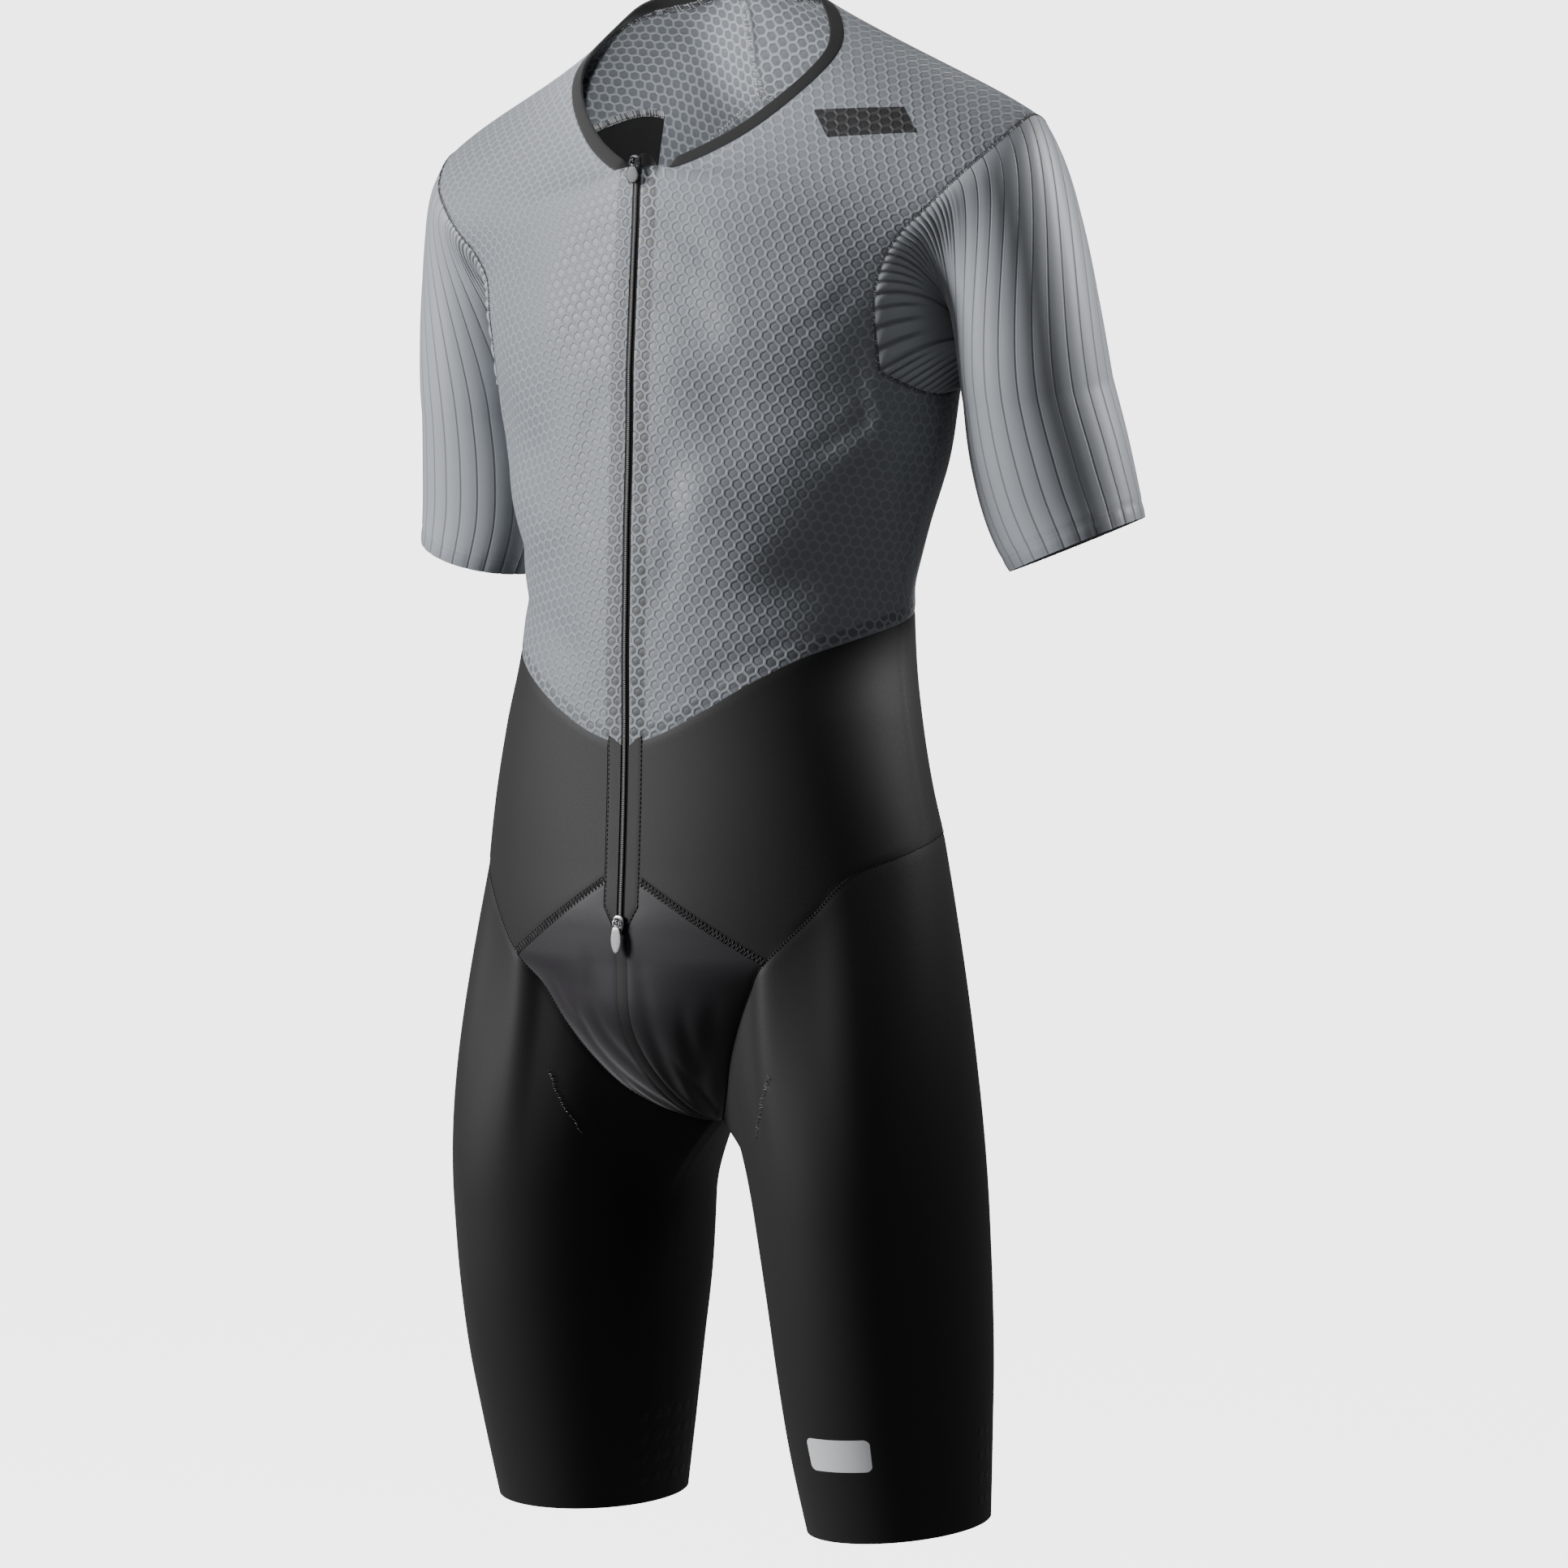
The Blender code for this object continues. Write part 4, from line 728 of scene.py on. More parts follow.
# Black panels. Dense matt stretch jersey below the waist seam: a front hip panel and a seat panel
# each side, overlocked to the mesh above and to the legs below.
LEG_SEAM = np.array((  # x, y, z, way the leg leaves it sideways and forward, and how far that holds
    (4, -5, -733, 0.80, 0.00, 45),
    (13, -18, -730, 0.80, -0.10, 45),
    (27, -36, -722, 0.75, -0.25, 50),
    (42, -54, -708, 0.60, -0.40, 60),
    (56, -70, -687, 0.35, -0.30, 80),
    (69, -80, -665, 0.15, -0.12, 110),
    (83, -86, -641, 0.03, -0.05, 140),
    (94, -88, -621, 0.00, -0.03, 160),
    (123, -77, -591, 0.06, -0.05, 200),
    (145, -64, -567, 0.16, -0.08, 230),
    (160, -30, -554, 0.20, -0.04, 250),
    (166, 5, -545, 0.18, 0.02, 250),
    (154, 42, -540, 0.18, 0.05, 250),
    (130, 76, -538, 0.14, 0.08, 240),
    (104, 98, -552, 0.08, 0.10, 220),
    (82, 112, -582, 0.04, 0.06, 190),
    (64, 118, -622, 0.04, -0.02, 150),
    (48, 112, -660, 0.10, -0.06, 110),
    (34, 92, -692, 0.30, 0.00, 70),
    (21, 62, -715, 0.60, 0.10, 55),
    (11, 32, -729, 0.80, 0.10, 45),
    (4, 8, -733, 0.80, 0.05, 45),
), float)
SEAT_MIDDLE = ((99, -538), (112, -580), (119, -622), (114, -662), (93, -694), (63, -717), (33, -730),
               (8, -733))
JUNCTION, SIDE, CREST = 7, 11, 13
DEEP_JERSEY = 1.1


def surface_turn(point):
    """The turn of the ring that lies in the direction of a point."""
    wanted, low, high = np.arctan2(point[0], -point[1]), 0.0, 2.0
    for _ in range(30):
        mid = (low + high) / 2
        at = ring(mid, point[2])
        low, high = (mid, high) if np.arctan2(at[0], -at[1]) < wanted else (low, mid)
    return (low + high) / 2


for i in range(JUNCTION, CREST + 1):
    LEG_SEAM[i, :2] = ring(surface_turn(LEG_SEAM[i]), LEG_SEAM[i, 2])[:2]


def leg_seam(at):
    return smooth(np.arange(len(LEG_SEAM)), LEG_SEAM, at)


def bow(inner, outer, way, steps):
    """A row that leaves the middle sideways and bends evenly to reach the seam."""
    chord = outer - inner
    size = np.linalg.norm(chord)
    sideways, along = np.array([1.0, 0, 0]), chord / max(size, 1e-9)
    return hermite(inner, outer, sideways * size, (2 * (along @ sideways) * along - sideways) * size,
                   np.linspace(0, 1, steps + 1)[:, None])


def plain_flat(grid):
    """A grid laid flat by the lengths of its rows and columns."""
    across = np.linalg.norm(np.diff(grid, axis=1), axis=-1)
    down = np.linalg.norm(np.diff(grid, axis=0), axis=-1).mean(1)
    wide = np.concatenate([np.zeros((len(grid), 1)), np.cumsum(across, 1)], 1)
    tall = np.repeat(-np.concatenate([[0], np.cumsum(down)])[:, None], grid.shape[1], 1)
    return np.stack([wide, tall], -1)


def jersey_look(name, color=(0.0062, 0.0062, 0.0068), lit=(0.0100, 0.0099, 0.0106), rough=0.60, sheen=0.12):
    look = Look(name, rough, sheen_weight=sheen, sheen_roughness=0.45, specular_ior_level=0.28)
    look.shader.inputs["Sheen Tint"].default_value = (0.55, 0.54, 0.56, 1)
    place, across, along = look.flat()
    cloud, fleck = look.noise(place, 16, 3.0), look.noise(place, 700, 2.0)
    knit = (across * 6.0 + fleck).wave() * (along * 7.5).wave()
    # Painted shade: the colour darkens within 1.2 mm of each seam.
    sewn = look.step(look.mark("from_seam"), 1.2, 0.2)
    body = look.mixed(cloud * 0.6 + fleck * 0.4, color, lit)
    body = look.mixed(sewn * 0.6, body, (0.004, 0.004, 0.004))
    return look, place, across, along, body, rough - 0.06 + fleck * 0.14, [(knit * 0.02 + fleck * 0.04, 0.55)]


def finished(parts):
    look, *_, body, rough, heights = parts
    return look.finish(body, rough, heights)


def with_seams(grids, lines, deep=0.45, wide=2.0):
    """Marks and lifts of a panel from the seams that bound it."""
    found = [distances(grids, line) for line in lines]
    return {"from_seam": [np.minimum.reduce(d) for d in zip(*found)]}, seam_sink(*found, deep=deep, wide=wide)


corner_x = blend(PLACKET_EDGE, LEG_SEAM[JUNCTION, 0], np.linspace(0, 1, 3 * FINE + 1))
corner_z = blend(-571.0, LEG_SEAM[JUNCTION, 2], np.linspace(0, 1, 3 * FINE + 1))
slant = ring(turn_at(corner_x, corner_z), corner_z)
slant[-1] = LEG_SEAM[JUNCTION, :3]
hip_rows = np.linspace(JUNCTION, SIDE, 8 * FINE + 1)
hip_low = np.vstack([slant, leg_seam(hip_rows)[1:, :3]])
hip_turns = np.array([surface_turn(p) for p in hip_low])
waist_turns = np.linspace(turn_at(PLACKET_EDGE, -477.0), 1.0, len(hip_low))
hip_top = ring(waist_turns, waist_height(waist_turns))
hip_grid = body_grid(hip_top, waist_turns, hip_turns, hip_low[:, 2], 8 * FINE, PLACKET_EDGE)
hip_grid[-1] = hip_low
seat_hip = leg_seam(np.linspace(CREST, SIDE, UNDER + 1))[:, :3]
crest_turn = surface_turn(LEG_SEAM[CREST])
seat_row = np.vstack([ring(np.linspace(2, crest_turn, COLS + 1), LEG_SEAM[CREST, 2])[:-1], seat_hip])
seat_turns = np.concatenate([np.linspace(2, crest_turn, COLS + 1), [surface_turn(p) for p in seat_hip[1:]]])
seat_top = ring(back_turns, waist_height(back_turns))
seat_upper = body_grid(seat_top, back_turns, seat_turns, seat_row[:, 2], 8 * FINE)
seat_upper[-1] = seat_row
middle = smooth(np.arange(len(SEAT_MIDDLE)), SEAT_MIDDLE, np.linspace(0, len(SEAT_MIDDLE) - 1, 7 * FINE + 1))
rump = [seat_row[:COLS + 1]]
for share, (y, z) in list(zip(np.linspace(0, 1, len(middle)), middle))[1:]:
    rump.append(bow(np.array([0.0, y, z]), leg_seam(CREST + 8 * share)[:3], 1, COLS))
seat_grids = [seat_upper[:, ::-1], np.array(rump)[:, ::-1]]
leg_line = leg_seam(np.linspace(0, len(LEG_SEAM) - 1, 120))[:, :3]
seat_middle = np.vstack([seat_upper[::6, 0], np.array([[0, y, z] for y, z in SEAT_MIDDLE[1:]])])
side_black = ring(np.ones(12), np.linspace(-407, -545, 12))
flat_low = plain_flat(np.array(rump)) * [-1, 1]
flat_up = plain_flat(seat_upper) * [-1, 1]
seat_flats = [flat_up[:, ::-1], (flat_low + [0, flat_up[-1, 0, 1]])[:, ::-1]]
for name, node, grids, flats, lines, size, area in (
        ("hip_front", "front_hip_panel", [hip_grid], [plain_flat(hip_grid)],
         [waist_line, side_black, leg_line, slant], (0.255, 0.145), 0.028),
        ("seat", "seat_panel", seat_grids, seat_flats, [back_waist, side_black, leg_line, seat_middle],
         (0.20, 0.42), 0.040)):
    marks, lifts = with_seams(grids, lines)
    for label, flip in (("left", False), ("right", True)):
        piece = cloth(f"{name}_jersey_{label}", grids, flats,
                      finished(jersey_look(f"black jersey {name} {label}")),
                      DEEP_JERSEY, lifts, marks, flip)
        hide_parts(f"{node}_{label}")

# Front insert. A darker, slightly shiny knit between the slanting seams and the leg seams, in two
# halves beside a narrow strip that runs from the end of the zip down under the crotch.
INSERT_MIDDLE = ((-110, -571), (-111, -588), (-112, -605), (-112, -622), (-111, -641), (-106, -665),
                 (-89, -688), (-64, -709), (-38, -724), (-18, -731), (-5, -733))
STRIP_HALF = 4.0
insert_at = np.linspace(0, 10, 10 * FINE + 1)
insert_middle = smooth(np.arange(11), INSERT_MIDDLE, insert_at)
insert_outer = np.where((insert_at <= 3)[:, None],
                        slant[np.clip((insert_at * FINE).round().astype(int), 0, 3 * FINE)],
                        leg_seam(np.clip(JUNCTION + 3 - insert_at, 0, JUNCTION))[:, :3])
insert_rows = []
for at, (y, z), outer in zip(insert_at, insert_middle, insert_outer):
    x = float(np.interp(at, (0, 1, 2, 10), (PLACKET_EDGE, PLACKET_EDGE, STRIP_HALF, STRIP_HALF)))
    inner = np.array([x, y, z])
    on_body = ring(turn_at(x, z), z)
    inner = blend(on_body, inner, float(np.clip((-625 - z) / 30, 0, 1))) if z < -600 else on_body
    insert_rows.append(np.repeat(inner[None], 6 * FINE + 1, 0) if at == 0
                       else bow(inner, outer, -1, 6 * FINE))
insert_rows[0][:] = slant[0]
insert_grid = np.array(insert_rows)
strip_side = insert_grid[2 * FINE:, 0]
strip_grid = np.array([[blend(p * [-1, 1, 1], p, s) for s in np.linspace(0, 1, 5)]
                       for p in np.vstack([strip_side, [STRIP_HALF, 8, -733]])])

marks, sink = with_seams([insert_grid], [slant, leg_line, strip_side], 0.4, 1.6)
INSERT_FOLDS = {
    "left": ((14, -630, 8, -712, 6, -1.2), (42, -655, 12, -728, 5, -1.1), (62, -648, 30, -700, 6, -0.9),
             (24, -690, 8, -742, 4, -1.0)),
    "right": ((44, -655, 9, -722, 5, -1.3), (28, -628, 7, -694, 5, -1.1), (58, -676, 18, -734, 4.5, -1.2),
              (66, -640, 40, -668, 5, -0.8),
              (34, -700, 10, -744, 3.6, -0.9)),
}
for label, flip in (("left", False), ("right", True)):
    lifts = [sink[0] + pressed([insert_grid], [marks["from_seam"][0] * 2.5], INSERT_FOLDS[label])[0]]
    look = finished(jersey_look("violet black insert " + label, (0.0105, 0.0090, 0.0115),
                                (0.0180, 0.0158, 0.0195), 0.50, 0.24))
    piece = cloth("insert_knit_" + label, [insert_grid], [plain_flat(insert_grid)], look, DEEP_JERSEY,
                  lifts, marks, flip)
    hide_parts("front_insert_" + label)
marks, lifts = with_seams([strip_grid], [strip_side, strip_side * [-1, 1, 1]], 0.3, 1.0)
piece = cloth("crotch_strip_knit", [strip_grid], [plain_flat(strip_grid)],
              finished(jersey_look("black jersey strip")), DEEP_JERSEY, lifts, marks)
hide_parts("crotch_strip")

# Legs. One tube of the same matt jersey each, sewn to the seat, hip panel and insert, with dots of
# silicone gripper printed inside the hem that press through behind and at the sides.
THIGH = (  # height, middle x and y, radius across and deep, degrees turned out, tilt of the hem
    (-790, 116, 5, 73, 97, 14, 0.00, 0.00),
    (-846, 119, 10, 70, 93, 14, 0.01, 0.02),
    (-890, 121, 13, 68, 86, 14, 0.02, 0.03),
    (-932, 122, 17, 65, 78, 14, 0.03, 0.05),
    (-990, 124, 24, 59, 67, 14, 0.04, 0.07),
)
DOT_WIDE, DOT_TALL, DOT_HALF, DOT_ROWS = 10.8, 15.0, 3.4, (9.0, 66.0)


def thigh(angle, height):
    """Point of the leg at a height; angle 0 is outward, 90 is back."""
    angle, height = np.broadcast_arrays(np.asarray(angle, float), np.asarray(height, float))
    table = np.array(THIGH, float)[::-1]
    x, y, across, deep, turn, lift_x, lift_y = np.moveaxis(smooth(table[:, 0], table[:, 1:], height), -1, 0)
    own = angle - np.radians(turn)
    reach = 1 / np.sqrt((np.cos(own) / across) ** 2 + (np.sin(own) / deep) ** 2)
    dx, dy = reach * np.cos(angle), reach * np.sin(angle)
    return np.stack([x + dx, y + dy, height + lift_x * dx + lift_y * dy], -1)


def leg(at, down):
    """Point of the leg; at goes round the seam by its rows, down 0 seam, 1 thigh, 2 hem."""
    at, down = np.broadcast_arrays(np.asarray(at, float), np.asarray(down, float))
    found = leg_seam(at)
    seam = found[..., :3]
    angle = np.arctan2(seam[..., 1] - 3, seam[..., 0] - 100)
    top_of, hem_of = THIGH[0][0], THIGH[-1][0]
    first = thigh(angle, 0 * down + top_of)
    leave = np.stack([found[..., 3], found[..., 4], -np.ones_like(at)], -1) * found[..., 5:6]
    arrive = (thigh(angle, 0 * down + top_of - 4) - first) / 4 * np.abs(first - seam)[..., 2:3]
    high = hermite(seam, first, leave, arrive, np.clip(down, 0, 1)[..., None])
    return np.where((down <= 1)[..., None], high,
                    thigh(angle, top_of + (hem_of - top_of) * np.clip(down - 1, 0, 1)))


leg_down = np.concatenate([np.linspace(0, 1, 61), np.linspace(1, 2, 61)[1:]])
leg_open = leg(np.linspace(0, len(LEG_SEAM) - 1, 169)[None], leg_down[:, None])
closing = np.stack([blend(leg_open[:, -1], leg_open[:, 0], s) for s in np.linspace(0, 1, 6)[1:]], 1)
leg_grid = np.concatenate([leg_open, closing], 1)
leg_flat = plain_flat(leg_grid)
leg_run = np.cumsum(np.concatenate([np.zeros((1, leg_grid.shape[1])),
                                    np.linalg.norm(np.diff(leg_grid, axis=0), axis=-1)]), 0)
to_hem = leg_run[-1][None] - leg_run
hem_ring = leg_grid[-1]
about = np.degrees(np.arctan2(hem_ring[:, 1] - 24, hem_ring[:, 0] - 124))
grip = np.clip(np.minimum(about - 0, 207 - np.where(about < -90, about + 360, about)) / 4, 0, 1)
grip = np.where(about < -90, np.clip((207 - (about + 360)) / 4, 0, 1), np.where(about < 0, 0, grip))
girth = np.concatenate([[0], np.cumsum(np.linalg.norm(np.diff(hem_ring, axis=0), axis=-1))])
top_arc = distances([leg_grid], leg_line)[0]
leg_marks = {"from_seam": [np.minimum(top_arc, to_hem)], "from_hem": [to_hem],
             "girth": [np.broadcast_to(girth[None], to_hem.shape)],
             "grip": [np.broadcast_to(grip[None], to_hem.shape)]}
leg_lift = [-0.45 * np.exp(-(top_arc / 2.0) ** 2)]
TAB_AT, TAB_HALF, TAB_CORNER = (101, 61), (20, 11), 4  # round the leg and above the hem, in mm
for label, flip in (("left", False), ("right", True)):
    parts = jersey_look("black jersey leg " + label)
    look, place, across, along, body, rough, heights = parts
    hem, girth_at = look.mark("from_hem"), look.mark("girth")
    x = ((girth_at / DOT_WIDE).saw() - 0.5) * DOT_WIDE
    y = (((hem - DOT_ROWS[0]) / DOT_TALL).saw() - 0.5) * DOT_TALL
    dot = look.step((x * x + y * y).root(), DOT_HALF + 0.6, DOT_HALF - 1.0)
    dot = dot * look.mark("grip") * look.step(hem, DOT_ROWS[0] - 0.1,
                                              DOT_ROWS[0]) * look.step(hem, DOT_ROWS[1] + 0.1, DOT_ROWS[1])
    heights.append((dot * 0.45, 0.9))
    if not flip:  # a plain reflective tab printed above the hem
        tab_x = (abs(girth_at - TAB_AT[0]) - (TAB_HALF[0] - TAB_CORNER)).most(0.0)
        tab_y = (abs(hem - TAB_AT[1]) - (TAB_HALF[1] - TAB_CORNER)).most(0.0)
        tab = look.step((tab_x * tab_x + tab_y * tab_y).root(), TAB_CORNER + 0.2, TAB_CORNER - 0.1)
        body = look.mixed(tab, body, (0.62, 0.63, 0.65))
        rough = blend(rough, 0.34, tab)
    piece = cloth("leg_jersey_" + label, [leg_grid], [leg_flat],
                  look.finish(body, rough - dot * 0.05, heights),
                  DEEP_JERSEY, leg_lift, leg_marks, flip)
    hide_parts("leg_" + label)

# Neck binding. A black woven elastic folded over the raw edge of the neck and stitched down, about
# 9 mm wide and open in front where the zip passes.
BIND_WIDE, BIND_HALF = 9.2, 1.15
edge_rows = np.linspace(NECK_FRONT, NECK_BACK, 161)
low_share = np.where(edge_rows[:, None] <= NECK_FRONT, 0.02, 0.0)
neck_edge = upper(low_share[:, 0], edge_rows)
neck_edge[0] = over[2 * NECK_FRONT * FINE, 0]
neck_next = upper(0.03, edge_rows)
neck_along = unit(np.gradient(neck_edge, axis=0))
neck_side = unit(neck_next - neck_edge)
neck_out = unit(np.cross(neck_side, neck_along))
neck_out *= np.sign((neck_out * (neck_edge - [0, 0, -400])).sum(-1, keepdims=True))
neck_away = unit(np.cross(neck_out, neck_along))
start = np.clip(1 - np.arange(len(edge_rows)) / 14, 0, 1)[:, None]
neck_away = unit(blend(neck_away, np.array([0, 0.10, 0.995]), start))
neck_out = unit(blend(neck_out, unit(np.array([0, -0.995, 0.10])), start))
neck_away[-1, 0] = neck_out[-1, 0] = 0
profile = []
for k in range(24):
    turn = 2 * math.pi * k / 24
    profile.append((BIND_WIDE / 2
                    + (BIND_WIDE / 2) * math.copysign(abs(math.cos(turn)) ** 0.45, math.cos(turn)),
                    BIND_HALF * math.copysign(abs(math.sin(turn)) ** 0.6, math.sin(turn))))
band = np.array([[p + a * (u - 2.0 * s) + n * (v - 0.9 + 1.6 * s) for u, v in profile]
                 for p, a, n, s in zip(neck_edge, neck_away, neck_out, start[:, 0])])
band = np.concatenate([band, (band * [-1, 1, 1])[::-1][1:]])


def strand(name, rings, look, body, scale=0.001):
    """A closed solid through rings of points in mm, flat at its two ends."""
    rings = np.asarray(rings) * scale
    count, around_it = rings.shape[:2]
    faces = [[i * around_it + j, i * around_it + (j + 1) % around_it,
              (i + 1) * around_it + (j + 1) % around_it,
              (i + 1) * around_it + j] for i in range(count - 1) for j in range(around_it)]
    faces += [list(range(around_it))[::-1], [(count - 1) * around_it + j for j in range(around_it)]]
    mesh = bpy.data.meshes.new(name)
    mesh.from_pydata(rings.reshape(-1, 3).tolist(), [], faces)
    run_of = np.concatenate([[0], np.cumsum(np.linalg.norm(np.diff(rings.mean(1), axis=0), axis=-1))])
    girth_of = np.linalg.norm(np.diff(rings[0], axis=0, append=rings[0][:1]), axis=-1).sum()
    round_of = np.arange(around_it) / around_it * girth_of
    place = mesh.uv_layers.new(name="flat")
    for loop in mesh.loops:
        i, j = divmod(loop.vertex_index, around_it)
        place.data[loop.index].uv = (round_of[j], run_of[i])
    mesh.shade_smooth()
    made = bpy.data.objects.new(name, mesh)
    bpy.context.scene.collection.objects.link(made)
    mesh.materials.append(look)
    mesh.validate()
    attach(made, body)
    return made


def tape_look(name, color, rough, pitch, deep, across_too=True):
    look = Look(name, rough, sheen_weight=0.10, specular_ior_level=0.25)
    place, across, along = look.flat()
    weave = (along * (2 * math.pi / pitch)).wave()
    if across_too:
        weave = weave * 0.7 + (across * (2 * math.pi / pitch / 0.8)).wave() * 0.3
    fleck = look.noise(place, 500, 2.0)
    body = look.mixed(fleck, color, tuple(1.7 * c for c in color))
    return look.finish(body, rough - 0.05 + fleck * 0.12, [(weave * deep + fleck * 0.02, 0.7)])


binding = strand("neck_binding_tape", band,
                 tape_look("black elastic binding", (0.0048, 0.0048, 0.0052), 0.66, 0.9, 0.06), "suit")
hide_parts("neck_binding")

# Zip. Black knitted tapes sewn behind the edges of the mesh, a fine coil between them, black
# jersey plackets beside its lower end, and a slider with a swinging silver tab at each end.
ZIP_END, TAPE_WIDE, COIL_PITCH = -601.0, 11.0, 1.25
shares = np.linspace(0, 1, 8 * FINE + 1)
outer_z = np.interp(shares, (0, 0.86, 1), (-477.5, -571, -588))
inner_z = np.interp(shares, (0, 0.86, 1), (-484.5, -571, -605))
placket_grid = np.array([[ring(turn_at(blend(ZIP_HALF, PLACKET_EDGE, c), blend(i, o, c)), blend(i, o, c))
                          for c in np.linspace(0, 1, 9)] for i, o in zip(inner_z, outer_z)])
marks, lifts = with_seams([placket_grid], [placket_grid[:, -1], placket_grid[-1]], 0.4, 1.4)
for label, flip in (("left", False), ("right", True)):
    piece = cloth("placket_jersey_" + label, [placket_grid], [plain_flat(placket_grid)],
                  finished(jersey_look("black jersey placket " + label)), DEEP_JERSEY, lifts, marks, flip)
    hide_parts("zip_placket_" + label)

edge = np.vstack([over[2 * NECK_FRONT * FINE:0:-1, 0], front_low[:, 0], placket_grid[1:, 0]])
beside = np.vstack([over[2 * NECK_FRONT * FINE:0:-1, 3], front_low[:, 3], placket_grid[1:, 3]])
edge = edge[edge[:, 2] > ZIP_END - 1]
beside = beside[:len(edge)]
downward = unit(np.gradient(edge * [0, 1, 1], axis=0))
forward = np.stack([0 * downward[:, 0], downward[:, 2], -downward[:, 1]], -1)
tape_grid = []
for e, b, f in zip(edge, beside, forward):
    way = unit(b - e)
    row = [blend(e * [0, 1, 1], e, x / ZIP_HALF) + f * (-0.45 - 0.85 * min(1, max(0, (x - 2.2) / 1.2)))
           if x <= ZIP_HALF
           else e + way * (x - ZIP_HALF) - f * 1.3
           for x in (0.06, 1.0, 2.0, 2.6, 3.2, 4.0, 6.0, 8.5, TAPE_WIDE)]
    tape_grid.append(row)
tape_grid = np.array(tape_grid)
for label, flip in (("left", False), ("right", True)):
    piece = cloth("zip_tape_" + label + "_knit", [tape_grid], [plain_flat(tape_grid)],
                  tape_look("black knitted tape " + label, (0.0055, 0.0055, 0.0060), 0.68, 1.0, 0.05), 0.5,
                  None, None, flip)
    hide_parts("zip_tape_" + label)
path = edge * [0, 1, 1]
length = np.concatenate([[0], np.cumsum(np.linalg.norm(np.diff(path, axis=0), axis=-1))])
at = np.arange(0, length[-1], COIL_PITCH / 4)
spine_of = np.stack([np.interp(at, length, path[:, i]) for i in range(3)], -1)
ahead = np.stack([np.interp(at, length, forward[:, i]) for i in range(3)], -1)
coil = []
for k, (p, f) in enumerate(zip(spine_of, ahead)):
    swell = (0.70, 1.0, 1.0, 0.70)[k % 4]
    coil.append([p + np.array([1.45 * (0.9 + 0.1 * swell), 0, 0]) * math.cos(t)
                 + f * (0.1 + 0.65 * swell * math.sin(t))
                 for t in np.linspace(0, 2 * math.pi, 12, endpoint=False)])
look = Look("black nylon coil", 0.45, specular_ior_level=0.4)
fleck = look.noise(look.flat()[0], 300, 2.0)
look.finish(look.mixed(fleck, (0.007, 0.007, 0.0075), (0.013, 0.013, 0.014)), 0.40 + 0.12 * fleck)
piece = strand("zip_coil_teeth", coil, look.material, "suit")
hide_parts("zip_coil")


def loft(rows, thick, way_up=1):
    """Rings of a flat metal part: height, half width and, where given, share of the thickness."""
    rings = []
    for z, half, *part in rows:
        deep = thick / 2 * (part[0] if part else 1.0)
        rings.append([(half * math.copysign(abs(math.cos(t)) ** 0.5, math.cos(t)),
                       deep * math.copysign(abs(math.sin(t)) ** 0.6, math.sin(t)), z)
                      for t in np.linspace(0, 2 * math.pi, 20, endpoint=False)])
    return np.array(rings)[::way_up]


def rod(a, b, radius, steps=2):
    a, b = np.array(a, float), np.array(b, float)
    way = unit(b - a)
    side = unit(np.cross(way, [0, 0.3, 1] if abs(way[2]) < 0.9 else [1, 0, 0]))
    top = np.cross(way, side)
    ends = ((0, 0.55), (0.12 * radius / max(np.linalg.norm(b - a), 1e-9) * 4, 1.0))
    shares = [ends[0], ends[1], (1 - ends[1][0], 1.0), (1.0, 0.55)]
    return np.array([[blend(a, b, s) + radius * r * (side * math.cos(t) + top * math.sin(t))
                      for t in np.linspace(0, 2 * math.pi, 12, endpoint=False)] for s, r in shares])


def hoop(radius, tube, half):
    """A closed ring about the x axis, as rings of points; its last ring meets its first."""
    return np.array([[(half * math.cos(u), (radius + tube * math.sin(u)) * math.cos(t),
                       (radius + tube * math.sin(u)) * math.sin(t))
                      for u in np.linspace(0, 2 * math.pi, 12, endpoint=False)]
                     for t in np.linspace(0, 2 * math.pi, 37)[:-1]])


def assembled(name, strands, look, body, place, closed=()):
    """One piece from several closed strands in mm, placed at a point."""
    points, faces, base = [], [], 0
    for k, rings in enumerate(strands):
        rows, cols = rings.shape[:2]
        points.append(rings.reshape(-1, 3) + place)
        index = base + np.arange(rows * cols).reshape(rows, cols)
        if k in closed:
            index = np.vstack([index, index[:1]])
        for a, b in zip(index[:-1], index[1:]):
            faces += np.stack([a, np.roll(a, -1), np.roll(b, -1), b], 1).tolist()
        if k not in closed:
            faces += [index[0][::-1].tolist(), index[-1].tolist()]
        base += rows * cols
    mesh = bpy.data.meshes.new(name)
    mesh.from_pydata((np.vstack(points) * 0.001).tolist(), [], faces)
    mesh.validate()
    shape = bmesh.new()
    shape.from_mesh(mesh)
    bmesh.ops.recalc_face_normals(shape, faces=shape.faces[:])
    shape.to_mesh(mesh)
    shape.free()
    mesh.shade_smooth()
    made = bpy.data.objects.new(name, mesh)
    bpy.context.scene.collection.objects.link(made)
    mesh.materials.append(look)
    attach(made, body)
    return made


def metal_look(name, color, rough):
    look = Look(name, rough, metallic=1.0)
    place = look.node("ShaderNodeTexCoord").outputs["Object"]
    cloud, fine = look.noise(place, 900, 3.0), look.noise(place, 4200, 2.0)
    return look.finish(look.mixed(cloud, tuple(0.86 * c for c in color), color),
                       rough - 0.05 + 0.12 * cloud + 0.06 * fine,
                       [(fine * 0.01, 0.4)])


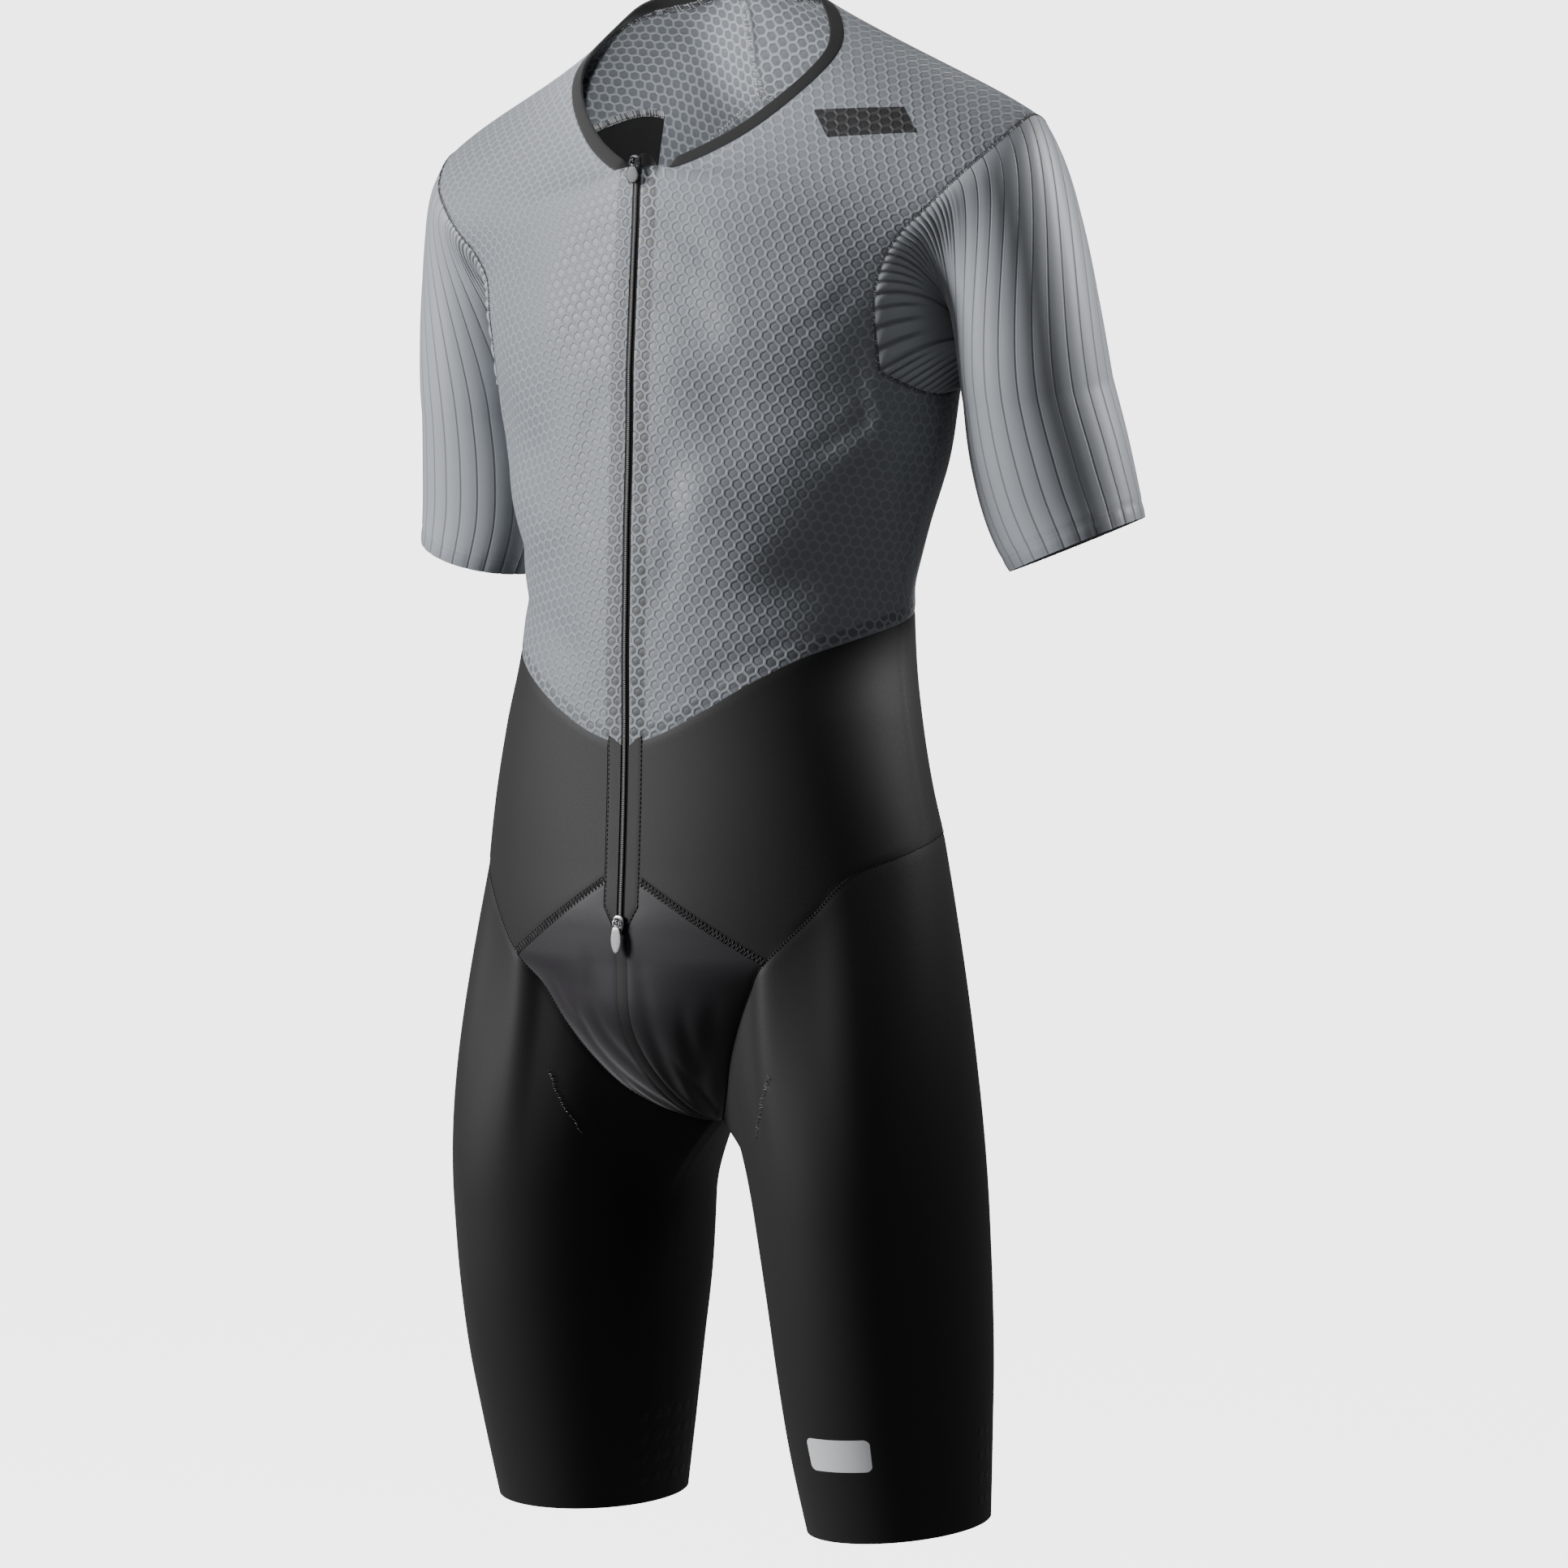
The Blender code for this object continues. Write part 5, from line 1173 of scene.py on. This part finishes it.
PIVOT_OFF, PLATE = 1.9, 1.8
SLIDER = ((3.9, 1.4, 0.7), (3.6, 2.4), (2.4, 3.8), (0.0, 4.2), (-3.0, 4.0), (-6.0, 3.1), (-7.2, 2.2),
          (-7.5, 1.2, 0.7))
PULL_TOP = ((-3.6, 2.0, 0.8), (-4.2, 2.7), (-5.5, 3.5), (-7.0, 4.3), (-9.6, 5.1), (-12.0, 4.7),
            (-13.7, 3.4), (-14.4, 2.0), (-14.7, 0.9, 0.7))
PULL_LOW = ((-3.6, 2.0, 0.8), (-4.2, 2.6), (-6.5, 3.3), (-9.5, 4.0), (-12.5, 4.2), (-16.0, 3.7),
            (-19.0, 2.5), (-20.4, 1.4), (-20.9, 0.6, 0.7))
metals = {"top": metal_look("grey metal", (0.040, 0.040, 0.042), 0.42),
          "bottom": metal_look("satin silver metal", (0.36, 0.36, 0.37), 0.36)}
low_front = float(ring(0.0, -597.0)[1]) - 0.8
for label, rows, height, front in (("top", PULL_TOP, -110.5, -94.2), ("bottom", PULL_LOW, -597.0, low_front)):
    pivot = np.array([0, front - 0.3 - PLATE - PIVOT_OFF, height])
    plate = loft(SLIDER, PLATE) + [0, PIVOT_OFF + PLATE / 2, 0]
    piece = assembled("slider_" + label + "_body", [plate, hoop(1.85, 0.5, 0.8)], metals[label], "suit",
                      pivot, (1,))
    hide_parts("zip_slider_" + label)
    arms = [rod((s * 2.35, 0, 0.3), (s * 2.2, 0, -4.6), 0.5) for s in (-1, 1)]
    piece = assembled("pull_" + label + "_tab",
                      [rod((-2.7, 0, 0), (2.7, 0, 0), 0.52)] + arms + [loft(rows, 1.1)],
                      metals[label], label + "_pull", pivot)
    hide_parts("zip_pull_" + label)

# Inner patch. A black square of jersey stitched inside the right of the back below the neck, with
# its top edge overlocked. It is placed by row and column on the cloth behind it.
PATCH_ROW, PATCH_COL, PATCH_ACROSS, PATCH_DOWN = 125, 32, (11, -10), (16, 13)
PATCH_DEEP, PATCH_IN = 0.7, 1.15
inside_back = np.vstack([over, yoke_grid[1:]])
down, inward = np.meshgrid(np.linspace(0, 1, 19), np.linspace(0, 1, 13), indexing="ij")
at_row = PATCH_ROW + PATCH_ACROSS[0] * inward + PATCH_DOWN[0] * down
at_col = PATCH_COL + PATCH_ACROSS[1] * inward + PATCH_DOWN[1] * down
row, col = np.floor(at_row).astype(int), np.minimum(np.floor(at_col).astype(int), COLS - 1)
part_row, part_col = (at_row - row)[..., None], (at_col - col)[..., None]
patch_grid = blend(blend(inside_back[row, col], inside_back[row, col + 1], part_col),
                   blend(inside_back[row + 1, col], inside_back[row + 1, col + 1], part_col), part_row)
patch_flat = plain_flat(patch_grid)
patch_marks = {"from_seam": [np.full(patch_grid.shape[:2], 9.0)]}
piece = cloth("back_patch_inside", [patch_grid], [patch_flat], finished(jersey_look("black jersey patch")),
              PATCH_DEEP, [np.full(patch_grid.shape[:2], -PATCH_IN)], patch_marks, True)
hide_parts("inner_back_patch")

# Sewing. Overlock round the armholes, the leg seams and inside the neck, flatlock on the slanting
# seams of the insert, edge stitching on the plackets, and short zigzags that hold the seat pad.
chance = np.random.default_rng(7)


def threads(name, ends, radius, look, tones, sides=6):
    """Many short stitches in one mesh; ends are pairs of points in mm, tones how pale each is."""
    ends = np.asarray(ends, float)
    way = unit(ends[:, 1] - ends[:, 0])
    aside = unit(np.cross(way, [0.31, 0.17, 0.93]))
    above = np.cross(way, aside)
    turns = np.linspace(0, 2 * math.pi, sides, endpoint=False)
    spoke = aside[:, None] * np.cos(turns)[None, :, None] + above[:, None] * np.sin(turns)[None, :, None]
    rings = np.stack([blend(ends[:, :1], ends[:, 1:], s) + spoke * (radius * w)
                      for s, w in ((0, 0.4), (0.2, 1), (0.8, 1), (1, 0.4))], 1)
    index = np.arange(rings[..., 0].size).reshape(len(ends), 4, sides)
    a, b = index[:, :-1], index[:, 1:]
    faces = np.stack([a, np.roll(a, -1, -1), np.roll(b, -1, -1), b], -1).reshape(-1, 4).tolist()
    faces += index[:, 0, ::-1].tolist() + index[:, -1].tolist()
    mesh = bpy.data.meshes.new(name)
    mesh.from_pydata((rings.reshape(-1, 3) * 0.001).tolist(), [], faces)
    tone = mesh.attributes.new("tone", "FLOAT", "POINT")
    tone.data.foreach_set("value", np.repeat(tones, 4 * sides).astype(np.float32))
    mesh.shade_smooth()
    made = bpy.data.objects.new(name, mesh)
    bpy.context.scene.collection.objects.link(made)
    mesh.materials.append(look)
    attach(made, "suit")
    return made


def thread_look(name, dark, pale):
    look = Look(name, 0.5, specular_ior_level=0.4)
    return look.finish(look.mixed(look.mark("tone"), dark, pale), 0.5 + 0.1 * look.mark("tone"))


def along(line, other, pitch, middle):
    """Places at a pitch along a seam: the point, the way along, the way into the panel and the way out."""
    length = np.concatenate([[0], np.cumsum(np.linalg.norm(np.diff(line, axis=0), axis=-1))])
    at = np.arange(pitch / 2, length[-1], pitch)
    pick = lambda v: np.stack([np.interp(at, length, v[:, i]) for i in range(3)], -1)
    point, way = pick(line), unit(pick(np.gradient(line, axis=0)))
    side = pick(other) - point
    side = unit(side - way * (side * way).sum(-1, keepdims=True))
    out = np.cross(way, side)
    away = point - middle if middle[2] is not None else (point - [middle[0], middle[1], 0]) * [1, 1, 0]
    return point, way, side, out * np.sign((out * away).sum(-1, keepdims=True))


def crossed(places, near_by, far_by, lean, lift):
    """Stitches that cross a seam, all leaning the same way."""
    point, way, side, out = places
    return np.stack([point + side * near_by + out * lift, point + side * far_by + way * lean + out * lift], 1)


def zigzag(places, half, lean, lift):
    point, way, side, out = places
    flip = np.where(np.arange(len(point)) % 2 == 0, 1, -1)[:, None]
    return np.stack([point - side * half * flip - way * lean + out * lift,
                     point + side * half * flip + way * lean + out * lift], 1)


def running(places, length, aside, lift):
    point, way, side, out = places
    return np.stack([point + side * aside - way * length / 2 + out * lift,
                     point + side * aside + way * length / 2 + out * lift], 1)


def both_sides(ends):
    return np.concatenate([ends, ends * [-1, 1, 1]])


def tones_of(count, pale_share, level=0.8):
    return np.where(chance.random(count) < pale_share, level, 0.1) * (0.7 + 0.5 * chance.random(count))


arm_rows = np.linspace(0, LAST + 4, 400)
arm_seam = armhole(arm_rows)
arm_inner = np.where((arm_rows <= LAST)[:, None], upper(0.97, np.clip(arm_rows, 0, LAST)),
                     arm_seam - [0, 0, 5])
places = along(arm_seam, arm_inner, 1.5, (150, 15, -150))
ends = both_sides(np.concatenate([crossed(places, -0.9, 0.9, 0.6, 0.12), running(places, 0.9, 1.6, -0.1)]))
# The pale stitches are painted glints on the dark overlock thread.
threads("armhole_overlock", ends, 0.24,
        thread_look("grey overlock thread", (0.012, 0.013, 0.015), (0.42, 0.43, 0.45)),
        tones_of(len(ends), 0.28))

seam_rows = np.linspace(JUNCTION - 7, len(LEG_SEAM) - 1, 500)
leg_line = leg_seam(seam_rows)[:, :3]
leg_next = leg(seam_rows, 0.04)
places = along(leg_line, leg_next, 2.3, (100, 5, None))
ends = both_sides(running(places, 1.25, 0.0, 0.02))
# The pale tone of these black stitches is a painted glint, here and on the insert and placket stitches.
black_thread_with_glints = thread_look("black thread", (0.0015, 0.0015, 0.0018), (0.05, 0.05, 0.053))
threads("leg_seam_stitches", ends, 0.34, black_thread_with_glints, tones_of(len(ends), 0.15, 0.4))

places = along(slant, slant + [0, 0, 4.0], 1.5, (0, 10, None))
ends = both_sides(np.concatenate([zigzag(places, 2.3, 0.55, 0.25), running(places, 1.1, 2.5, 0.2),
                                  running(places, 1.1, -2.5, 0.2)]))
threads("insert_flatlock", ends, 0.27, black_thread_with_glints, tones_of(len(ends), 0.45, 0.6))

PAD_ENDS = (((26, 56), (37, 46), 1), ((20, 43), (31, 29), -1))  # rows and columns on the leg, side
pads = []
for first, last, flip in PAD_ENDS:
    steps = np.round(np.linspace(first, last, 9)).astype(int)
    line = smooth(np.arange(9), leg_grid[steps[:, 0], steps[:, 1]], np.linspace(0, 8, 60))
    places = along(line, line + [1.0, 0, 0.5], 1.7, (119, 10, None))
    ends = np.concatenate([zigzag(places, 1.5, 0.5, 0.3), running(places, 0.6, 2.1, 0.3)])
    pads.append(ends * [flip, 1, 1])
ends = np.concatenate(pads)
threads("pad_zigzag_stitches", ends, 0.26,
        thread_look("dark thread", (0.006, 0.006, 0.007), (0.16, 0.16, 0.165)), tones_of(len(ends), 0.4))

neck_part = edge_rows >= 6.0
neck_places = along(neck_edge[neck_part], neck_next[neck_part], 1.15, (0, 20, -300))
ends = crossed(neck_places, -1.5, 4.6, 0.5, -1.5)
ends = both_sides(np.concatenate([ends, running(neck_places, 1.0, 4.7, -1.55),
                                  running(neck_places, 1.0, 1.0, -1.75)]))
pale_thread = thread_look("black and grey overlock thread", (0.010, 0.010, 0.011), (0.36, 0.37, 0.38))
threads("neck_overlock_inside", ends, 0.30, pale_thread, tones_of(len(ends), 0.42))

yoke = over[-1]
places = along(yoke, over[-4], 1.6, (0, 10, None))
ends = both_sides(np.concatenate([zigzag(places, 1.4, 0.5, -1.25), running(places, 1.2, -1.6, -1.2)]))
spine_top = over[2 * NECK_BACK * FINE:, 0]
beside = over[2 * NECK_BACK * FINE:, 2]
places = along(spine_top, beside, 1.1, (0, 10, None))
ends = np.concatenate([ends, both_sides(crossed(places, 0.2, 2.9, 0.4, -1.3))])
threads("yoke_overlock_inside", ends, 0.27,
        thread_look("grey thread", (0.10, 0.11, 0.12), (0.40, 0.41, 0.43)), tones_of(len(ends), 0.55))

top_line = patch_grid[0]
places = along(top_line, patch_grid[2], 1.1, (0, 10, None))
ends = np.concatenate([crossed(places, -3.6, 1.4, 0.3, -2.1), running(places, 0.9, -3.8, -2.1),
                       running(places, 0.9, 1.4, -2.2)])
threads("patch_overlock", ends * [-1, 1, 1], 0.28, pale_thread, tones_of(len(ends), 0.7))

edge_line = placket_grid[:, -1]
places = along(edge_line, placket_grid[:, -3], 3.0, (0, 10, None))
low_places = along(placket_grid[-1], placket_grid[-4], 3.0, (0, 10, None))
ends = both_sides(np.concatenate([running(places, 2.0, 1.2, 0.12), running(low_places, 2.0, 1.2, 0.12)]))
threads("placket_edge_stitches", ends, 0.22, black_thread_with_glints, tones_of(len(ends), 0.5, 0.5))

# Studio. A pale seamless room, a large soft light from the left of the picture, small ones for the
# neck and the far sleeve, and the camera at the photograph's angle.
TURN, TILT, FAR, LENS, SENSOR = math.radians(35), math.radians(1.8), 3.5, 122.35, 36.0
FLOOR = -1.35
rows = [(0.01, FLOOR), (6.5, FLOOR)] + [(6.5 + 1.5 * math.sin(t), FLOOR + 1.5 * (1 - math.cos(t)))
                                        for t in np.linspace(0, math.pi / 2, 12)[1:]] + [(8.0, FLOOR + 9.0)]
right, back = np.array([math.cos(TURN), math.sin(TURN), 0]), np.array([-math.sin(TURN), math.cos(TURN), 0])
FACETS = 96
mesh = bpy.data.meshes.new("sweep")
mesh.from_pydata([(r * math.cos(a), r * math.sin(a), z) for r, z in rows
                  for a in np.linspace(0, 2 * math.pi, FACETS, endpoint=False)], [],
                 [(i * FACETS + k, i * FACETS + (k + 1) % FACETS, (i + 1) * FACETS + (k + 1) % FACETS,
                   (i + 1) * FACETS + k)
                  for i in range(len(rows) - 1) for k in range(FACETS)])
mesh.shade_smooth()
sweep = bpy.data.objects.new("sweep", mesh)
bpy.context.scene.collection.objects.link(sweep)
look = Look("pale paper", 0.9, emission_color=(1, 1, 1, 1), emission_strength=3.60)
look.finish((0.80, 0.80, 0.80))
mesh.materials.append(look.material)
sweep.visible_diffuse = sweep.visible_glossy = False
world = bpy.data.worlds.new("studio")
world.use_nodes = True
world.node_tree.nodes["Background"].inputs["Color"].default_value = (1, 1, 1, 1)
world.node_tree.nodes["Background"].inputs["Strength"].default_value = 0.17
bpy.context.scene.world = world
target = right * 0.0405 + np.array([0, 0, -0.512])
for name, place, aim, size, power, spread in (
        ("key", (-3.0, 0.60, 1.1), (0, 0, 0), 1.0, 205.0, 180),
        ("neck", (-0.1, 2.8, 0.75), (-0.075, -0.05, 0.482), 0.12, 0.17, 5),
        ("collar", (-0.75, 1.6, 2.0), (-0.05, -0.05, 0.455), 0.4, 0.12, 10),
        ("rim", (1.7, -0.2, 1.0), (0.25, 0.0, 0.33), 0.4, 1.1, 20)):
    lamp = bpy.data.lights.new(name, "AREA")
    lamp.size, lamp.energy, lamp.spread = size, power, math.radians(spread)
    place, aim = (target + right * p[0] - back * p[1] + [0, 0, p[2]] for p in (place, aim))
    holder = bpy.data.objects.new(name, lamp)
    holder.location = place
    holder.rotation_euler = Vector(aim - place).to_track_quat("-Z", "Y").to_euler()
    bpy.context.scene.collection.objects.link(holder)
lens = bpy.data.cameras.new("camera")
lens.lens, lens.sensor_width, lens.clip_end = LENS, SENSOR, 30.0
camera = bpy.data.objects.new("camera", lens)
toward = np.array([math.sin(TURN) * math.cos(TILT), -math.cos(TURN) * math.cos(TILT), math.sin(TILT)])
camera.location = target + toward * FAR
camera.rotation_euler = Vector(-toward).to_track_quat("-Z", "Y").to_euler()
bpy.context.scene.collection.objects.link(camera)
bpy.context.scene.camera = camera
